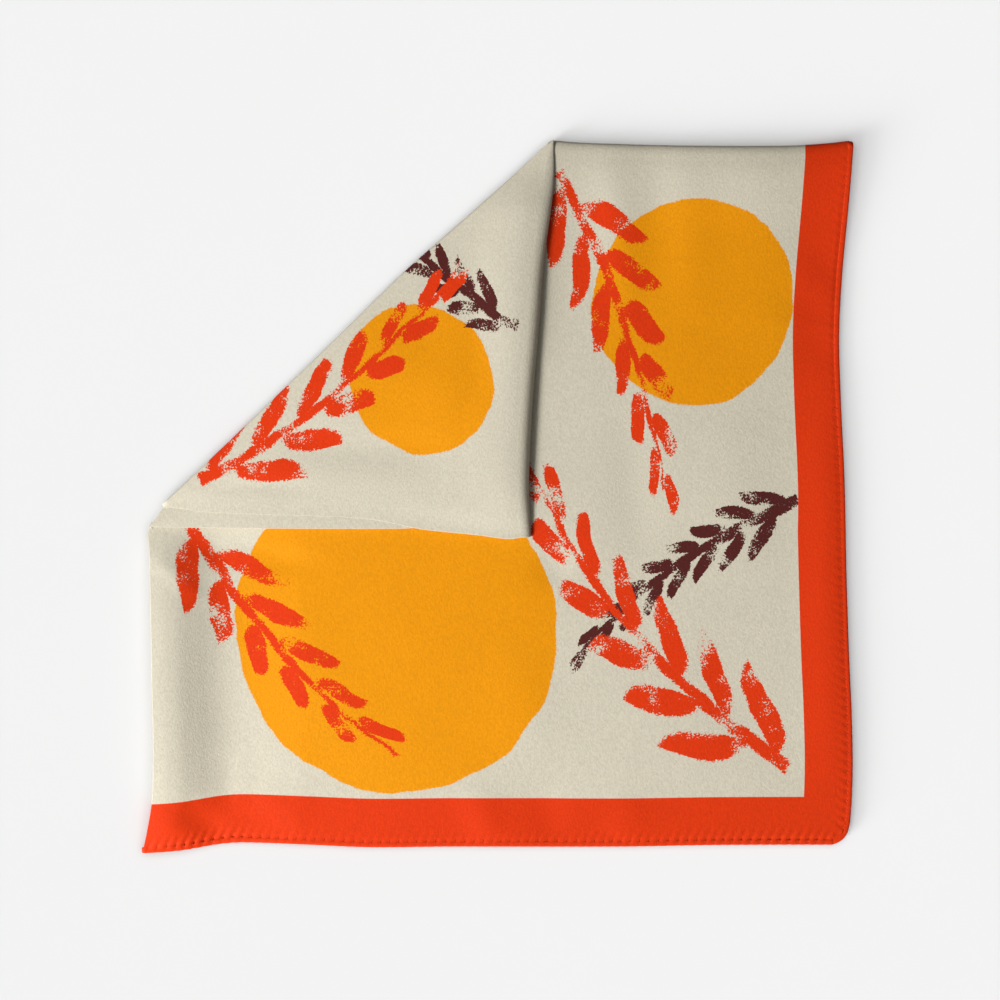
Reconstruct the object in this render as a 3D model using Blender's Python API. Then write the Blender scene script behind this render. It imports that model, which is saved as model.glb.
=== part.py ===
"""Silk square scarf, 90 cm a side, folded in four with its top left corner turned down over the front.

The scarf lies flat. +X runs from the left fold to the right hem, +Y from the bottom hem to the top fold, and
+Z is up from the surface it lies on. The origin is on that surface, in the middle of the plan.
Tables and sizes are in millimetres, and MM turns them into Blender's metres.
"""

import bisect
import math

import bpy

MM = 0.001

# Driving sizes
SIDE = 450.0  # side of the folded square, half of the 900 mm cut
CLOTH = 1.0  # wall that stands for the silk
SEAM_GAP = 0.3  # clearance between pieces that touch
LAYER = 0.9  # height of one hidden layer
HIDDEN_LAYERS = 3
HEM_WIDTH = 4.0  # rolled hem, across
HEM_HEIGHT = 2.4
HEM_SIDES = 10
HEM_GAP = 0.45  # clearance inside a hem, measured along X or Y where the edge slopes
HEM_CORNER = 3.0  # how much sooner the panel turns in than its outline does, at the rounded corner
TUCK = 6.0  # how far the front layer runs on below the turned corner's right edge
TUCK_SHARE = 0.4  # the tuck is at most this share of the way to the top fold
CORE_INSET = 10.0  # how far the turned corner's hidden layers stay inside its edges

STACK = HIDDEN_LAYERS * LAYER
HEM_BASE = STACK + SEAM_GAP
FRONT_TOP = HEM_BASE + SEAM_GAP + CLOTH  # top of the front panel where it lies flat
HEM_SINK = 0.6  # middle of a hem below the top of the panel it edges
ROLL_END = math.radians(150.0)  # how far the cloth goes round a fold before it is hidden
ROLL_STEPS = 6
ROLL_DROP = 1.0 - math.cos(ROLL_END)  # height of such a roll for each unit of its radius
FLOOR_GAP = 0.6  # lower lip of a roll above the surface
HEM_CORNER_X = 216.0  # where the bottom hem ends against the right one
HEM_CORNER_Y = -225.0  # where the right hem starts
UPPER_RINGS = (0.03, 0.1, 0.3, 0.6)  # shares of the way from the rim to the middle of a layered solid
LONGEST_MITRE = 2.7  # a mitre's reach, in offsets
PLAN_ROUNDS = 4  # rounds that settle a place whose two coordinates depend on each other

# How many strips each stretch is divided into
PANEL_LEFT, PANEL_RIGHT = 12, 11  # the front panel, left and right of the turned corner's edge
PANEL_LOWER, PANEL_UPPER = 10, 12  # the front panel, below and above the turned corner
CORNER_ACROSS, CORNER_UP = 15, 12
INNER_FOLD_ALONG, INNER_FOLD_ACROSS = 18, 3
HEM_BOTTOM_ALONG, HEM_RIGHT_ALONG = 40, 44

# Outline of the folded square, seen from above
LEFT_EDGE = (  # (y, x)
    (-230.0, -229.2), (-212.0, -225.3), (-196.0, -222.8), (-163.0, -222.0), (-120.0, -222.9),
    (-74.0, -223.8), (-36.0, -224.8), (-22.0, -226.0), (0.0, -226.0),
)
RIGHT_EDGE = (  # (y, x)
    (-226.0, 217.0), (-222.0, 223.4), (-217.0, 226.6), (-207.0, 228.4), (-177.0, 229.7), (-141.0, 229.0),
    (-100.0, 227.2), (-49.0, 225.6), (10.0, 224.4), (63.0, 222.0), (104.0, 221.0), (141.0, 222.8),
    (189.0, 227.0), (231.0, 230.2),
)
BOTTOM_EDGE = (  # (x, y)
    (-231.0, -231.0), (-205.0, -229.2), (-178.0, -225.0), (-162.0, -224.2), (-121.0, -225.6), (-83.0, -227.2),
    (-30.0, -226.8), (79.0, -226.8), (142.0, -225.8), (230.0, -225.6),
)
TOP_EDGE = (  # (x, y)
    (30.0, 230.6), (50.0, 228.6), (79.0, 227.4), (128.0, 226.3), (186.0, 226.3), (212.0, 227.8),
    (230.0, 229.8),
)

# Turned corner, seen from above
CORNER_FOLD = (  # (x, y), the slanting fold
    (-214.0, -3.0), (-161.0, 46.5), (-109.0, 94.5), (-57.0, 143.0), (-5.0, 188.5), (34.0, 230.6),
)
CORNER_RIGHT = (  # (y, x), its right edge
    (-25.0, 21.5), (10.0, 20.4), (62.0, 22.9), (114.0, 27.2), (153.0, 30.2), (186.0, 34.7), (207.0, 36.6),
    (230.6, 36.0),
)
CORNER_LOWER = (  # (x, y), its lower edge
    (-219.0, -10.0), (-192.0, -10.5), (-150.0, -12.0), (-115.0, -13.5), (-75.0, -18.0), (-49.0, -21.7),
    (-13.0, -25.3), (8.0, -27.8), (21.5, -25.3),
)
CORNER_LEFT_X = -209.0  # left end of its flat part
CORNER_APEX_X = 30.6  # where its slanting fold ends at the top fold
INNER_FOLD_EDGE = (  # (x, y), the fold that shows below the lower edge
    (-226.0, -20.0), (-150.0, -21.0), (-66.0, -21.2), (-49.0, -20.5), (-20.0, -19.0),
)
INNER_FOLD_RADIUS = 1.1
INNER_FOLD_LEFT_X = -224.9  # left end of its edge
INNER_FOLD_HIDDEN_X = -201.0  # its left end where it goes below the turned corner
INNER_FOLD_RIGHT_X = -57.0  # right end, hidden below the turned corner
HIDDEN_EDGE = (  # (x, y) where the layers that run on below the turned corner's lower edge end
    (-226.0, -18.0), (-212.0, -15.0), (-200.0, -9.0), (-180.0, -6.5), (-150.0, -6.0), (-115.0, -7.5),
    (-75.0, -12.0), (-49.0, -15.7), (-13.0, -19.3), (22.0, -19.0),
)

# Heights
LEFT_RISE = (  # (y, rise) of the left fold above the flat middle
    (-230.0, 2.6), (-200.0, 4.2), (-120.0, 4.4), (-70.0, 3.6), (-40.0, 1.5), (-10.0, 1.2),
)
TOP_RISE = ((30.0, 3.2), (60.0, 4.0), (120.0, 3.8), (190.0, 3.6), (230.0, 4.4))  # (x, rise) of the top fold
EDGE_FALL = ((0.0, 1.0), (6.0, 0.96), (15.0, 0.66), (28.0, 0.24), (44.0, 0.04), (60.0, 0.0))  # (inset, share)
HEM_RISE = 0.5
HEM_FALL = 16.0  # the rise at a hem dies away over this
CORNER_TOP = 9.0  # top of the turned corner where it lies flat
CORNER_RIGHT_RISE = ((-25.0, 2.2), (20.0, 3.6), (110.0, 4.0), (190.0, 3.4), (231.0, 2.4))  # (y, rise)
CORNER_LOWER_RISE = ((-219.0, 1.7), (-120.0, 1.5), (-40.0, 1.4), (22.0, 0.4))  # (x, rise)
CORNER_FALL = ((0.0, 1.0), (5.0, 0.94), (14.0, 0.6), (28.0, 0.18), (42.0, 0.0))  # (inset, share)
CORNER_LOWER_BASE = (  # (x, z), the lip of its lower edge's roll
    (-219.0, 8.6), (-180.0, 7.8), (-57.0, 7.3), (-42.0, 5.4), (22.0, 5.2),
)
CORNER_FOLD_BASE = (  # (x, z), the lip of its slanting fold's roll
    (-209.0, 0.6), (-25.0, 0.6), (5.0, 2.6), (22.0, 6.4), (34.0, 8.9),
)
INNER_FOLD_TOP = ((-226.0, 8.2), (-180.0, 7.4), (-120.0, 7.0), (-57.0, 6.9))  # (x, z)

# Hidden layers below the front: how far they reach past (+) or stay inside (-) the edges above them
UNDER_RIGHT = (  # (y, reach)
    (-226.0, -1.6), (-63.0, -0.6), (-19.0, 1.6), (11.0, -0.4), (60.0, -1.4), (185.0, -1.6), (205.0, -5.2),
    (230.0, -5.4),
)
UNDER_BOTTOM = -1.2
UNDER_LEFT = -0.8
UNDER_TOP = -2.8
UNDER_FOLD = -3.8
UNDER_TOP_RISE = ((45.0, 0.0), (70.0, 2.5), (190.0, 2.3), (230.0, 2.7))  # (x, rise) in the top fold's roll
LAYERED = (0.3, 0.0, 0.45, 0.0, 0.45, 0.0, 0.3)  # inset, base to top, of an edge that shows three layers

# Their rim, clockwise from above: each stretch from its first place to its last, in so many strips
UNDER_LEFT_Y = (-225.0, -24.0, 16)
UNDER_BEND = ((-212.0, -16.0), (-207.0, -9.5))  # (x, y), between the left fold and the slanting one
UNDER_FOLD_X = (-203.0, 12.0, 20)
UNDER_TOP_X = (48.0, 222.0, 14)
UNDER_RIGHT_Y = (221.0, -214.0, 34)
UNDER_BOTTOM_X = (217.0, -224.0, 30)
UNDER_CENTRE = (20.0, -40.0)

# Hidden layers inside the turned corner, and their rim
CORE_FOLD = -2.0  # reach at the slanting fold
CORE_BASE = 1.3
CORE_TOP = 7.3
CORE_LOWER_X = (8.0, -200.0, 12)
CORE_FOLD_X = (-200.0, -8.0, 18)
CORE_RIGHT_Y = (176.0, -12.0, 10)
CORE_CENTRE = (-50.0, 50.0)

# Colour (red, green, blue, alpha) and roughness of the silk
CREAM = (0.66, 0.60, 0.48, 1.0)
RED_ORANGE = (0.75, 0.05, 0.01, 1.0)
SILK_ROUGHNESS = 0.45


# ---------------------------------------------------------------- curves read from tables

def read(table, at):
    """Value at a place in a table of (place, value) rows: a cubic sloped by the rows on both sides."""
    places = [row[0] for row in table]
    values = [row[1] for row in table]
    last = len(table) - 1
    if at <= places[0]:
        return values[0]
    if at >= places[last]:
        return values[last]
    i = bisect.bisect_right(places, at) - 1

    def slope(k):
        low, high = max(k - 1, 0), min(k + 1, last)
        return (values[high] - values[low]) / (places[high] - places[low])

    span = places[i + 1] - places[i]
    t = (at - places[i]) / span
    start = (1 + 2 * t) * (1 - t) ** 2 * values[i] + t * (1 - t) ** 2 * span * slope(i)
    end = t ** 2 * (3 - 2 * t) * values[i + 1] - t ** 2 * (1 - t) * span * slope(i + 1)
    return start + end


def mix(a, b, t):
    return a + (b - a) * t


def even(n):
    """n + 1 fractions from 0 to 1, evenly spaced."""
    return [i / n for i in range(n + 1)]


def spaced(start, end, strips):
    """Places from start to end, evenly spaced."""
    return [mix(start, end, t) for t in even(strips)]


def dense_start(n):
    """n + 1 fractions from 0 to 1, close together at the start."""
    return [1.0 - math.sin(0.5 * math.pi * (1.0 - t)) for t in even(n)]


def dense_end(n):
    """n + 1 fractions from 0 to 1, close together at the end."""
    return [math.sin(0.5 * math.pi * t) for t in even(n)]


def outward_of(points, closed):
    """Mitred directions, in plan, to the left of the way that the points run."""
    count = len(points)
    directions = []
    for i, here in enumerate(points):
        before = points[i - 1] if closed or i else here
        after = points[(i + 1) % count] if closed or i < count - 1 else here
        normals = []
        for a, b in ((before, here), (here, after)):
            length = math.hypot(b[0] - a[0], b[1] - a[1])
            if length:
                normals.append((-(b[1] - a[1]) / length, (b[0] - a[0]) / length))
        x = sum(n[0] for n in normals) / len(normals)
        y = sum(n[1] for n in normals) / len(normals)
        size = max(x * x + y * y, LONGEST_MITRE ** -2)
        directions.append((x / size, y / size))
    return directions


def moved(points, distances):
    """The points moved in plan, each by its own distance to the left of the way that they run."""
    ways = outward_of(points, closed=False)
    return [(x + dx * by, y + dy * by) for (x, y), (dx, dy), by in zip(points, ways, distances)]


# ---------------------------------------------------------------- heights and rolls

def front_height(x, y):
    """Top of the front panel."""
    left = read(LEFT_RISE, y) * read(EDGE_FALL, x - read(LEFT_EDGE, y))
    top = read(TOP_RISE, x) * read(EDGE_FALL, read(TOP_EDGE, x) - y)
    to_hem = min(read(RIGHT_EDGE, y) - x, y - read(BOTTOM_EDGE, x))
    hem = HEM_RISE * max(0.0, 1.0 - to_hem / HEM_FALL)
    return FRONT_TOP + left + top + hem


def corner_height(x, y):
    """Top of the turned corner."""
    right = read(CORNER_RIGHT_RISE, y) * read(CORNER_FALL, read(CORNER_RIGHT, y) - x)
    lower = read(CORNER_LOWER_RISE, x) * read(CORNER_FALL, y - read(CORNER_LOWER, x))
    return CORNER_TOP + right + lower


def left_radius(y):
    """Radius of the left fold's roll, which rests on the hidden layers."""
    return (FRONT_TOP + read(LEFT_RISE, y) - HEM_BASE) / ROLL_DROP


def top_radius(x):
    """Radius of the top fold's roll, which reaches down to the surface."""
    return (FRONT_TOP + read(TOP_RISE, x) - FLOOR_GAP) / ROLL_DROP


# ---------------------------------------------------------------- walls of cloth

class Wall:
    """A wall of cloth: points of its outer and its inner side in pairs, and the faces between them."""

    def __init__(self):
        self.outer = []
        self.inner = []
        self.faces = []

    def point(self, x, y, z):
        """A point of the laid cloth, with its inner side straight below."""
        self.outer.append((x, y, z))
        self.inner.append((x, y, z - CLOTH))
        return len(self.outer) - 1

    def join(self, near, far, closed=False):
        """Faces between two chains of as many points."""
        count = len(near)
        for i in range(count if closed else count - 1):
            j = (i + 1) % count
            self.faces.append((near[i], near[j], far[j], far[i]))

    def roll(self, chain, radii, closed=False):
        """Rolls the cloth on round a fold to the left of the chain, each point by its own radius."""
        places = [self.outer[i] for i in chain]
        near = chain
        for step in range(1, ROLL_STEPS + 1):
            turn = ROLL_END * step / ROLL_STEPS
            out, fall = math.sin(turn), 1.0 - math.cos(turn)
            far = []
            for (x, y, z), (dx, dy), radius in zip(places, outward_of(places, closed), radii):
                within = radius - CLOTH
                self.outer.append((x + dx * radius * out, y + dy * radius * out, z - radius * fall))
                self.inner.append((x + dx * within * out, y + dy * within * out, z - CLOTH - within * fall))
                far.append(len(self.outer) - 1)
            self.join(near, far, closed)
            near = far

    def build(self, name, material):
        """Closes the two sides along their free edges and makes the object."""
        count = len(self.outer)
        edges = {(a, b) for face in self.faces for a, b in zip(face, face[1:] + face[:1])}
        rim = [(b, a, a + count, b + count) for a, b in sorted(edges) if (b, a) not in edges]
        inner = [tuple(i + count for i in reversed(face)) for face in self.faces]
        return solid(name, self.outer + self.inner, self.faces + inner + rim, material)


def solid(name, points, faces, material):
    """An object of these points, in millimetres, and faces, shaded smooth."""
    mesh = bpy.data.meshes.new(name)
    mesh.from_pydata([(x * MM, y * MM, z * MM) for x, y, z in points], [], faces)
    mesh.materials.append(material)
    mesh.shade_smooth()
    made = bpy.data.objects.new(name, mesh)
    bpy.context.scene.collection.objects.link(made)
    return made


# ---------------------------------------------------------------- visible pieces

def front_plan(s, t):
    """Place on the front panel. s is 0 at the left roll, 1 at the turned corner and 2 at the right hem, and
    t is 0 at the bottom hem, 1 at the turned corner and 2 at the top roll."""
    hem = HEM_WIDTH + HEM_GAP
    x, y = 0.0, -SIDE / 4 if t <= 1 else SIDE / 4
    for _ in range(PLAN_ROUNDS):
        tuck = min(TUCK, TUCK_SHARE * (SIDE / 2 - y))
        inner = read(CORNER_RIGHT, y) - tuck
        if s <= 1:
            x = mix(read(LEFT_EDGE, y) + left_radius(y), inner, s)
        else:
            x = mix(inner, read(RIGHT_EDGE, y - HEM_CORNER) - hem, s - 1)
        if t <= 1:
            y = mix(read(BOTTOM_EDGE, x) + hem, read(HIDDEN_EDGE, x), t)
        else:
            y = mix(read(HIDDEN_EDGE, x), read(TOP_EDGE, x) - top_radius(x), t - 1)
    return x, y


def front_panel(material):
    """The front layer: an L round the turned corner, rolled over the left and the top fold."""
    columns = dense_start(PANEL_LEFT) + [1 + s for s in dense_end(PANEL_RIGHT)[1:]]
    rows = dense_start(PANEL_LOWER) + [1 + t for t in dense_end(PANEL_UPPER)[1:]]
    wall = Wall()
    grid = {}
    for i, t in enumerate(rows):
        for j, s in enumerate(columns):
            if s >= 1 or t <= 1:
                x, y = front_plan(s, t)
                grid[i, j] = wall.point(x, y, front_height(x, y))
    for i, j in grid:
        corners = ((i, j), (i, j + 1), (i + 1, j + 1), (i + 1, j))
        if all(corner in grid for corner in corners):
            wall.faces.append(tuple(grid[corner] for corner in corners))
    left = [grid[i, 0] for i in range(len(rows)) if (i, 0) in grid]
    top = [grid[len(rows) - 1, j] for j in range(len(columns)) if (len(rows) - 1, j) in grid]
    wall.roll(left, [left_radius(wall.outer[i][1]) for i in left])
    wall.roll(top, [top_radius(wall.outer[i][0]) for i in top])
    return wall.build("front_panel", material)


def right_radius(y):
    """Radius of the roll at the turned corner's right edge, which rests on the front panel."""
    x = read(CORNER_RIGHT, y)
    return (corner_height(x, y) - front_height(x, y) - SEAM_GAP) / ROLL_DROP


def lower_radius(x):
    """Radius of the roll at the turned corner's lower edge, which rests on the inner fold or the front."""
    return (corner_height(x, read(CORNER_LOWER, x)) - read(CORNER_LOWER_BASE, x)) / ROLL_DROP


def fold_radius(x, y):
    """Radius of the roll round the slanting fold, which reaches down to the surface."""
    return (corner_height(x, y) - read(CORNER_FOLD_BASE, x)) / ROLL_DROP


def turned_corner_plan(across, up):
    """Places on the turned corner's flat part: a column for each share across, from its right edge to its
    left end, of a place for each share up, from its lower edge to its slanting fold."""
    tip_y = CORNER_LOWER[-1][1]
    tip_x = read(CORNER_RIGHT, tip_y) - right_radius(tip_y)
    lower_x = [mix(tip_x, CORNER_LEFT_X, s) for s in across]
    lower = [(x, read(CORNER_LOWER, x) + lower_radius(x)) for x in lower_x]
    fold_x = [mix(CORNER_APEX_X, CORNER_FOLD[0][0], s) for s in across]
    fold = [(x, read(CORNER_FOLD, x)) for x in fold_x]
    fold = moved(fold, [fold_radius(x, y) for x, y in fold])  # it runs down the fold, so inwards is left
    columns = []
    for s, start, end in zip(across, lower, fold):
        column = []
        for t in up:
            y = mix(start[1], end[1], t)
            bow = read(CORNER_RIGHT, y) - right_radius(y) - mix(lower[0][0], fold[0][0], t)
            column.append((mix(start[0], end[0], t) + bow * (1 - s) ** 2, y))
        columns.append(column)
    return columns


def turned_corner(material):
    """The corner turned down over the front, rolled over at all its edges."""
    up = dense_start(CORNER_UP)
    wall = Wall()
    grid = [
        [wall.point(x, y, corner_height(x, y)) for x, y in column]
        for column in turned_corner_plan(dense_start(CORNER_ACROSS), up)
    ]
    for near, far in zip(grid, grid[1:]):
        wall.join(near, far)
    lower = [column[0] for column in grid]
    end = grid[-1][1:-1]
    fold = [column[-1] for column in reversed(grid)]
    right = grid[0][-2:0:-1]
    bases = [read(CORNER_LOWER_BASE, wall.outer[i][0]) for i in lower]
    bases += [mix(bases[-1], FLOOR_GAP, t) for t in up[1:-1]]
    bases += [read(CORNER_FOLD_BASE, wall.outer[i][0]) for i in fold]
    bases += [front_height(*wall.outer[i][:2]) + SEAM_GAP for i in right]
    loop = lower + end + fold + right
    wall.roll(loop, [(wall.outer[i][2] - base) / ROLL_DROP for i, base in zip(loop, bases)], closed=True)
    return wall.build("turned_corner", material)


def inner_fold(material):
    """The second fold of the turned corner, a strip that shows below its lower edge."""
    wall = Wall()
    grid = []
    for s in even(INNER_FOLD_ALONG):
        x = mix(INNER_FOLD_LEFT_X, INNER_FOLD_RIGHT_X, s)
        start = (x, read(INNER_FOLD_EDGE, x) + INNER_FOLD_RADIUS)
        x = mix(INNER_FOLD_HIDDEN_X, INNER_FOLD_RIGHT_X, s)
        end = (x, read(HIDDEN_EDGE, x))
        column = [(mix(start[0], end[0], t), mix(start[1], end[1], t)) for t in even(INNER_FOLD_ACROSS)]
        grid.append([wall.point(x, y, read(INNER_FOLD_TOP, x)) for x, y in column])
    for near, far in zip(grid, grid[1:]):
        wall.join(far, near)
    chain = [column[0] for column in reversed(grid)] + grid[0][1:]
    wall.roll(chain, [INNER_FOLD_RADIUS] * len(chain))
    return wall.build("inner_fold", material)


# ---------------------------------------------------------------- rolled hems

def hem(name, edge, side, fold, radius, material):
    """A rolled hem inside an edge, which is on its left where side is 1 and on its right where side is -1.
    The edge runs up to a fold, and the hem follows the cloth over it: fold is the way out over the fold, in
    plan, and radius is that of the cloth's roll there."""
    stations = []  # middle, way across and way up
    for (x, y), (dx, dy) in zip(moved(edge, [side * HEM_WIDTH / 2] * len(edge)), outward_of(edge, False)):
        size = math.hypot(dx, dy)
        stations.append(((x, y, front_height(x, y) - HEM_SINK), (dx / size, dy / size, 0.0), (0.0, 0.0, 1.0)))
    (x, y, z), across, _ = stations[-1]
    reach = radius - HEM_SINK
    for step in range(1, ROLL_STEPS + 1):
        out = math.sin(ROLL_END * step / ROLL_STEPS)
        up = math.cos(ROLL_END * step / ROLL_STEPS)
        middle = (x + fold[0] * reach * out, y + fold[1] * reach * out, z - reach * (1.0 - up))
        stations.append((middle, across, (fold[0] * out, fold[1] * out, up)))
    points = []
    for middle, across, up in stations:
        for k in range(HEM_SIDES):
            angle = math.tau * (k + 0.5) / HEM_SIDES
            width = HEM_WIDTH / 2 * math.cos(angle)
            height = HEM_HEIGHT / 2 * math.sin(angle)
            points.append(tuple(m + a * width + u * height for m, a, u in zip(middle, across, up)))
    faces = []
    for ring in range(len(stations) - 1):
        for k in range(HEM_SIDES):
            a, b = ring * HEM_SIDES + k, ring * HEM_SIDES + (k + 1) % HEM_SIDES
            faces.append((a, b, b + HEM_SIDES, a + HEM_SIDES))
    faces.append(tuple(reversed(range(HEM_SIDES))))
    faces.append(tuple(range(len(points) - HEM_SIDES, len(points))))
    return solid(name, points, faces, material)


def hem_bottom(material):
    y = BOTTOM_EDGE[0][1]
    end = read(LEFT_EDGE, y) + left_radius(y)
    edge = [(x, read(BOTTOM_EDGE, x)) for x in spaced(HEM_CORNER_X, end, HEM_BOTTOM_ALONG)]
    return hem("hem_bottom", edge, -1, (-1.0, 0.0), left_radius(y), material)


def hem_right(material):
    x = RIGHT_EDGE[-1][1]
    end = read(TOP_EDGE, x) - top_radius(x)
    heights = [mix(HEM_CORNER_Y, end, t) for t in dense_start(HEM_RIGHT_ALONG)]
    edge = [(read(RIGHT_EDGE, y), y) for y in heights]
    return hem("hem_right", edge, 1, (0.0, 1.0), top_radius(x), material)


# ---------------------------------------------------------------- hidden layers

def layered_solid(name, rim, base, top, centre, material):
    """A solid whose rim shows its layers. rim holds (x, y, layered), clockwise seen from above: a layered
    place shows three layers, and another one is round like a fold. top gives the height of its upper side."""
    points = []
    edge = [(x, y) for x, y, _ in rim]
    for level, layer_inset in enumerate(LAYERED):
        share = level / (len(LAYERED) - 1)
        insets = []
        for x, y, layered in rim:
            half = (top(x, y) - base) / 2
            insets.append(layer_inset if layered else half * (1 - math.sqrt(1 - (2 * share - 1) ** 2)))
        for (x, y), (own_x, own_y) in zip(moved(edge, [-inset for inset in insets]), edge):
            points.append((x, y, mix(base, top(own_x, own_y), share)))
    upper = points[-len(rim):]
    for share in UPPER_RINGS:
        for x, y, _ in upper:
            place = (mix(x, centre[0], share), mix(y, centre[1], share))
            points.append((*place, top(*place)))
    count = len(rim)
    faces = []
    for ring in range(len(points) // count - 1):
        for i in range(count):
            a, b = ring * count + i, ring * count + (i + 1) % count
            faces.append((b, a, a + count, b + count))
    faces.append(tuple(range(count)))
    last = len(points) - count
    points.append((*centre, top(*centre)))
    faces += [(last + (i + 1) % count, last + i, last + count) for i in range(count)]
    return solid(name, points, faces, material)


def hidden_top(x, y):
    """Top of the three layers below the front panel."""
    return STACK + read(UNDER_TOP_RISE, x) * read(EDGE_FALL, read(TOP_EDGE, x) - y)


def slanting_rim(stretch, reach):
    """Round rim along the slanting fold, past it by reach."""
    fold = [(x, read(CORNER_FOLD, x)) for x in spaced(*stretch)]
    return [(x, y, False) for x, y in moved(fold, [reach] * len(fold))]


def hidden_layers(material):
    """The layers of which only the edges show: three below the front, and more inside the turned corner."""
    left = [(read(LEFT_EDGE, y) - UNDER_LEFT, y, False) for y in spaced(*UNDER_LEFT_Y)]
    bend = [(x, y, False) for x, y in UNDER_BEND]
    fold = slanting_rim(UNDER_FOLD_X, UNDER_FOLD)
    top = [(x, read(TOP_EDGE, x) + UNDER_TOP, False) for x in spaced(*UNDER_TOP_X)]
    right = [(read(RIGHT_EDGE, y) + read(UNDER_RIGHT, y), y, True) for y in spaced(*UNDER_RIGHT_Y)]
    bottom = [(x, read(BOTTOM_EDGE, x) - UNDER_BOTTOM, True) for x in spaced(*UNDER_BOTTOM_X)]
    rim = left + bend + fold + top + right + bottom
    under = layered_solid("hidden_layers", rim, 0.0, hidden_top, UNDER_CENTRE, material)

    lower = [(x, read(CORNER_LOWER, x) + CORE_INSET, True) for x in spaced(*CORE_LOWER_X)]
    fold = slanting_rim(CORE_FOLD_X, CORE_FOLD)
    right = [(read(CORNER_RIGHT, y) - CORE_INSET, y, True) for y in spaced(*CORE_RIGHT_Y)]
    rim = lower + fold + right
    core = layered_solid("corner_layers", rim, CORE_BASE, lambda x, y: CORE_TOP, CORE_CENTRE, material)

    union = under.modifiers.new("union", "BOOLEAN")
    union.operation = "UNION"
    union.object = core
    core.hide_render = True
    core.display_type = "WIRE"
    return under


# ---------------------------------------------------------------- materials

def silk(name, colour):
    material = bpy.data.materials.new(name)
    material.use_nodes = True
    shader = material.node_tree.nodes["Principled BSDF"]
    shader.inputs["Base Color"].default_value = colour
    shader.inputs["Roughness"].default_value = SILK_ROUGHNESS
    shader.inputs["Metallic"].default_value = 0.0
    return material


def main():
    for thing in list(bpy.data.objects):
        bpy.data.objects.remove(thing)
    printed = silk("printed_silk", CREAM)
    border = silk("border_silk", RED_ORANGE)
    front_panel(printed)
    turned_corner(printed)
    inner_fold(printed)
    hidden_layers(printed)
    hem_bottom(border)
    hem_right(border)


main()
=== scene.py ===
"""Looks of a silk square scarf, folded in four, with its top left corner turned down over the front.

The scarf lies flat. +X runs from the left fold to the right hem, +Y from the bottom hem to the top fold, and
+Z is up from the surface it lies on. Tables and sizes are in millimetres, and MM turns them into metres.

The cloth is one square. A place on it is (u, v), in millimetres from its middle, which is the turned corner's
tip. On the front u runs to the right hem and v, negative, to the bottom hem. The turned corner shows the
cloth past the top fold, so there u runs along +Y and v along -X.
"""

import math

import bmesh
import bpy
import numpy as np
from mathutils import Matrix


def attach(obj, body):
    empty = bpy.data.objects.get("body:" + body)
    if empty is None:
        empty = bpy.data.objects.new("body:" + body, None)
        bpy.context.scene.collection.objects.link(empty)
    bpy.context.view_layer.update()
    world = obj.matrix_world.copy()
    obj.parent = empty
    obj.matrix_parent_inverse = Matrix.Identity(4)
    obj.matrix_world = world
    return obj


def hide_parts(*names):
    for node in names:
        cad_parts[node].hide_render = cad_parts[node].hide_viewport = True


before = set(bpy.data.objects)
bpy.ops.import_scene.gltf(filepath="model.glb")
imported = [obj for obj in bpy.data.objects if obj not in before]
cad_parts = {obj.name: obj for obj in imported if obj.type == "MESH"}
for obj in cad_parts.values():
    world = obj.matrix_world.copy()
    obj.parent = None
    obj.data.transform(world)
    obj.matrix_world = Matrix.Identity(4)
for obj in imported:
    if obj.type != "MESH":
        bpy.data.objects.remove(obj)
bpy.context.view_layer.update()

bl_info = {
    "name": "Folded silk square",
    "version": (1, 0, 0),
    "blender": (4, 5, 0),
    "location": "3D View > Sidebar > Scarf",
    "description": "A silk square folded in four with one corner turned down, its rolled hems and its print",
    "category": "Object",
}

MM = 0.001
BODY = "root"
SILK_PIECES = "silk pieces"  # collection of everything sewn from the silk

# ---------------------------------------------------------------- outline, seen from above

SIDE = 450.0  # side of the folded square
LEFT_EDGE = (  # (y, x)
    (-230, -229.2), (-212, -225.3), (-196, -222.8), (-163, -222), (-120, -222.9), (-74, -223.8),
    (-36, -224.8), (-26, -225.8), (-22, -225.5), (-17, -222.6), (-8, -219), (0, -216),
)
RIGHT_EDGE = (  # (y, x)
    (-226, 217), (-222, 223.4), (-217, 226.6), (-207, 228.4), (-177, 229.7), (-141, 229), (-100, 227.2),
    (-49, 225.6), (10, 224.4), (63, 222), (104, 221), (141, 222.8), (189, 227), (231, 230.2),
)
BOTTOM_EDGE = (  # (x, y)
    (-231, -231), (-205, -229.2), (-178, -225), (-162, -224.2), (-121, -225.6), (-83, -227.2), (-30, -226.8),
    (79, -226.8), (142, -225.8), (230, -225.6),
)
TOP_EDGE = (  # (x, y)
    (30, 230.6), (50, 228.6), (79, 227.4), (128, 226.3), (186, 226.3), (212, 227.8), (230, 229.8),
)
CORNER_FOLD = (  # (x, y), the slanting fold
    (-216.5, -5.3), (-161, 46.5), (-109, 94.5), (-57, 143), (-5, 188.5), (34, 230.6),
)
FOLD_X = tuple((y, x) for x, y in CORNER_FOLD)
SLANT_COSINE = 0.73  # of the slanting fold's angle with X
CORNER_RIGHT = (  # (y, x), the turned corner's right edge
    (-25, 21.5), (10, 20.4), (62, 22.9), (114, 27.2), (153, 30.2), (186, 34.7), (207, 36.6), (230.6, 36),
)
CORNER_LOWER = (  # (x, y), its lower edge
    (-219, -7.1), (-212, -7.4), (-203, -8.4), (-192, -10.2), (-150, -12), (-115, -13), (-88, -14.4),
    (-70, -17), (-49, -21.5), (-13, -25.3), (8, -27.8), (21.5, -25.3),
)
CORNER_LEFT_X = -214.8  # left end of its flat part
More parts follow.
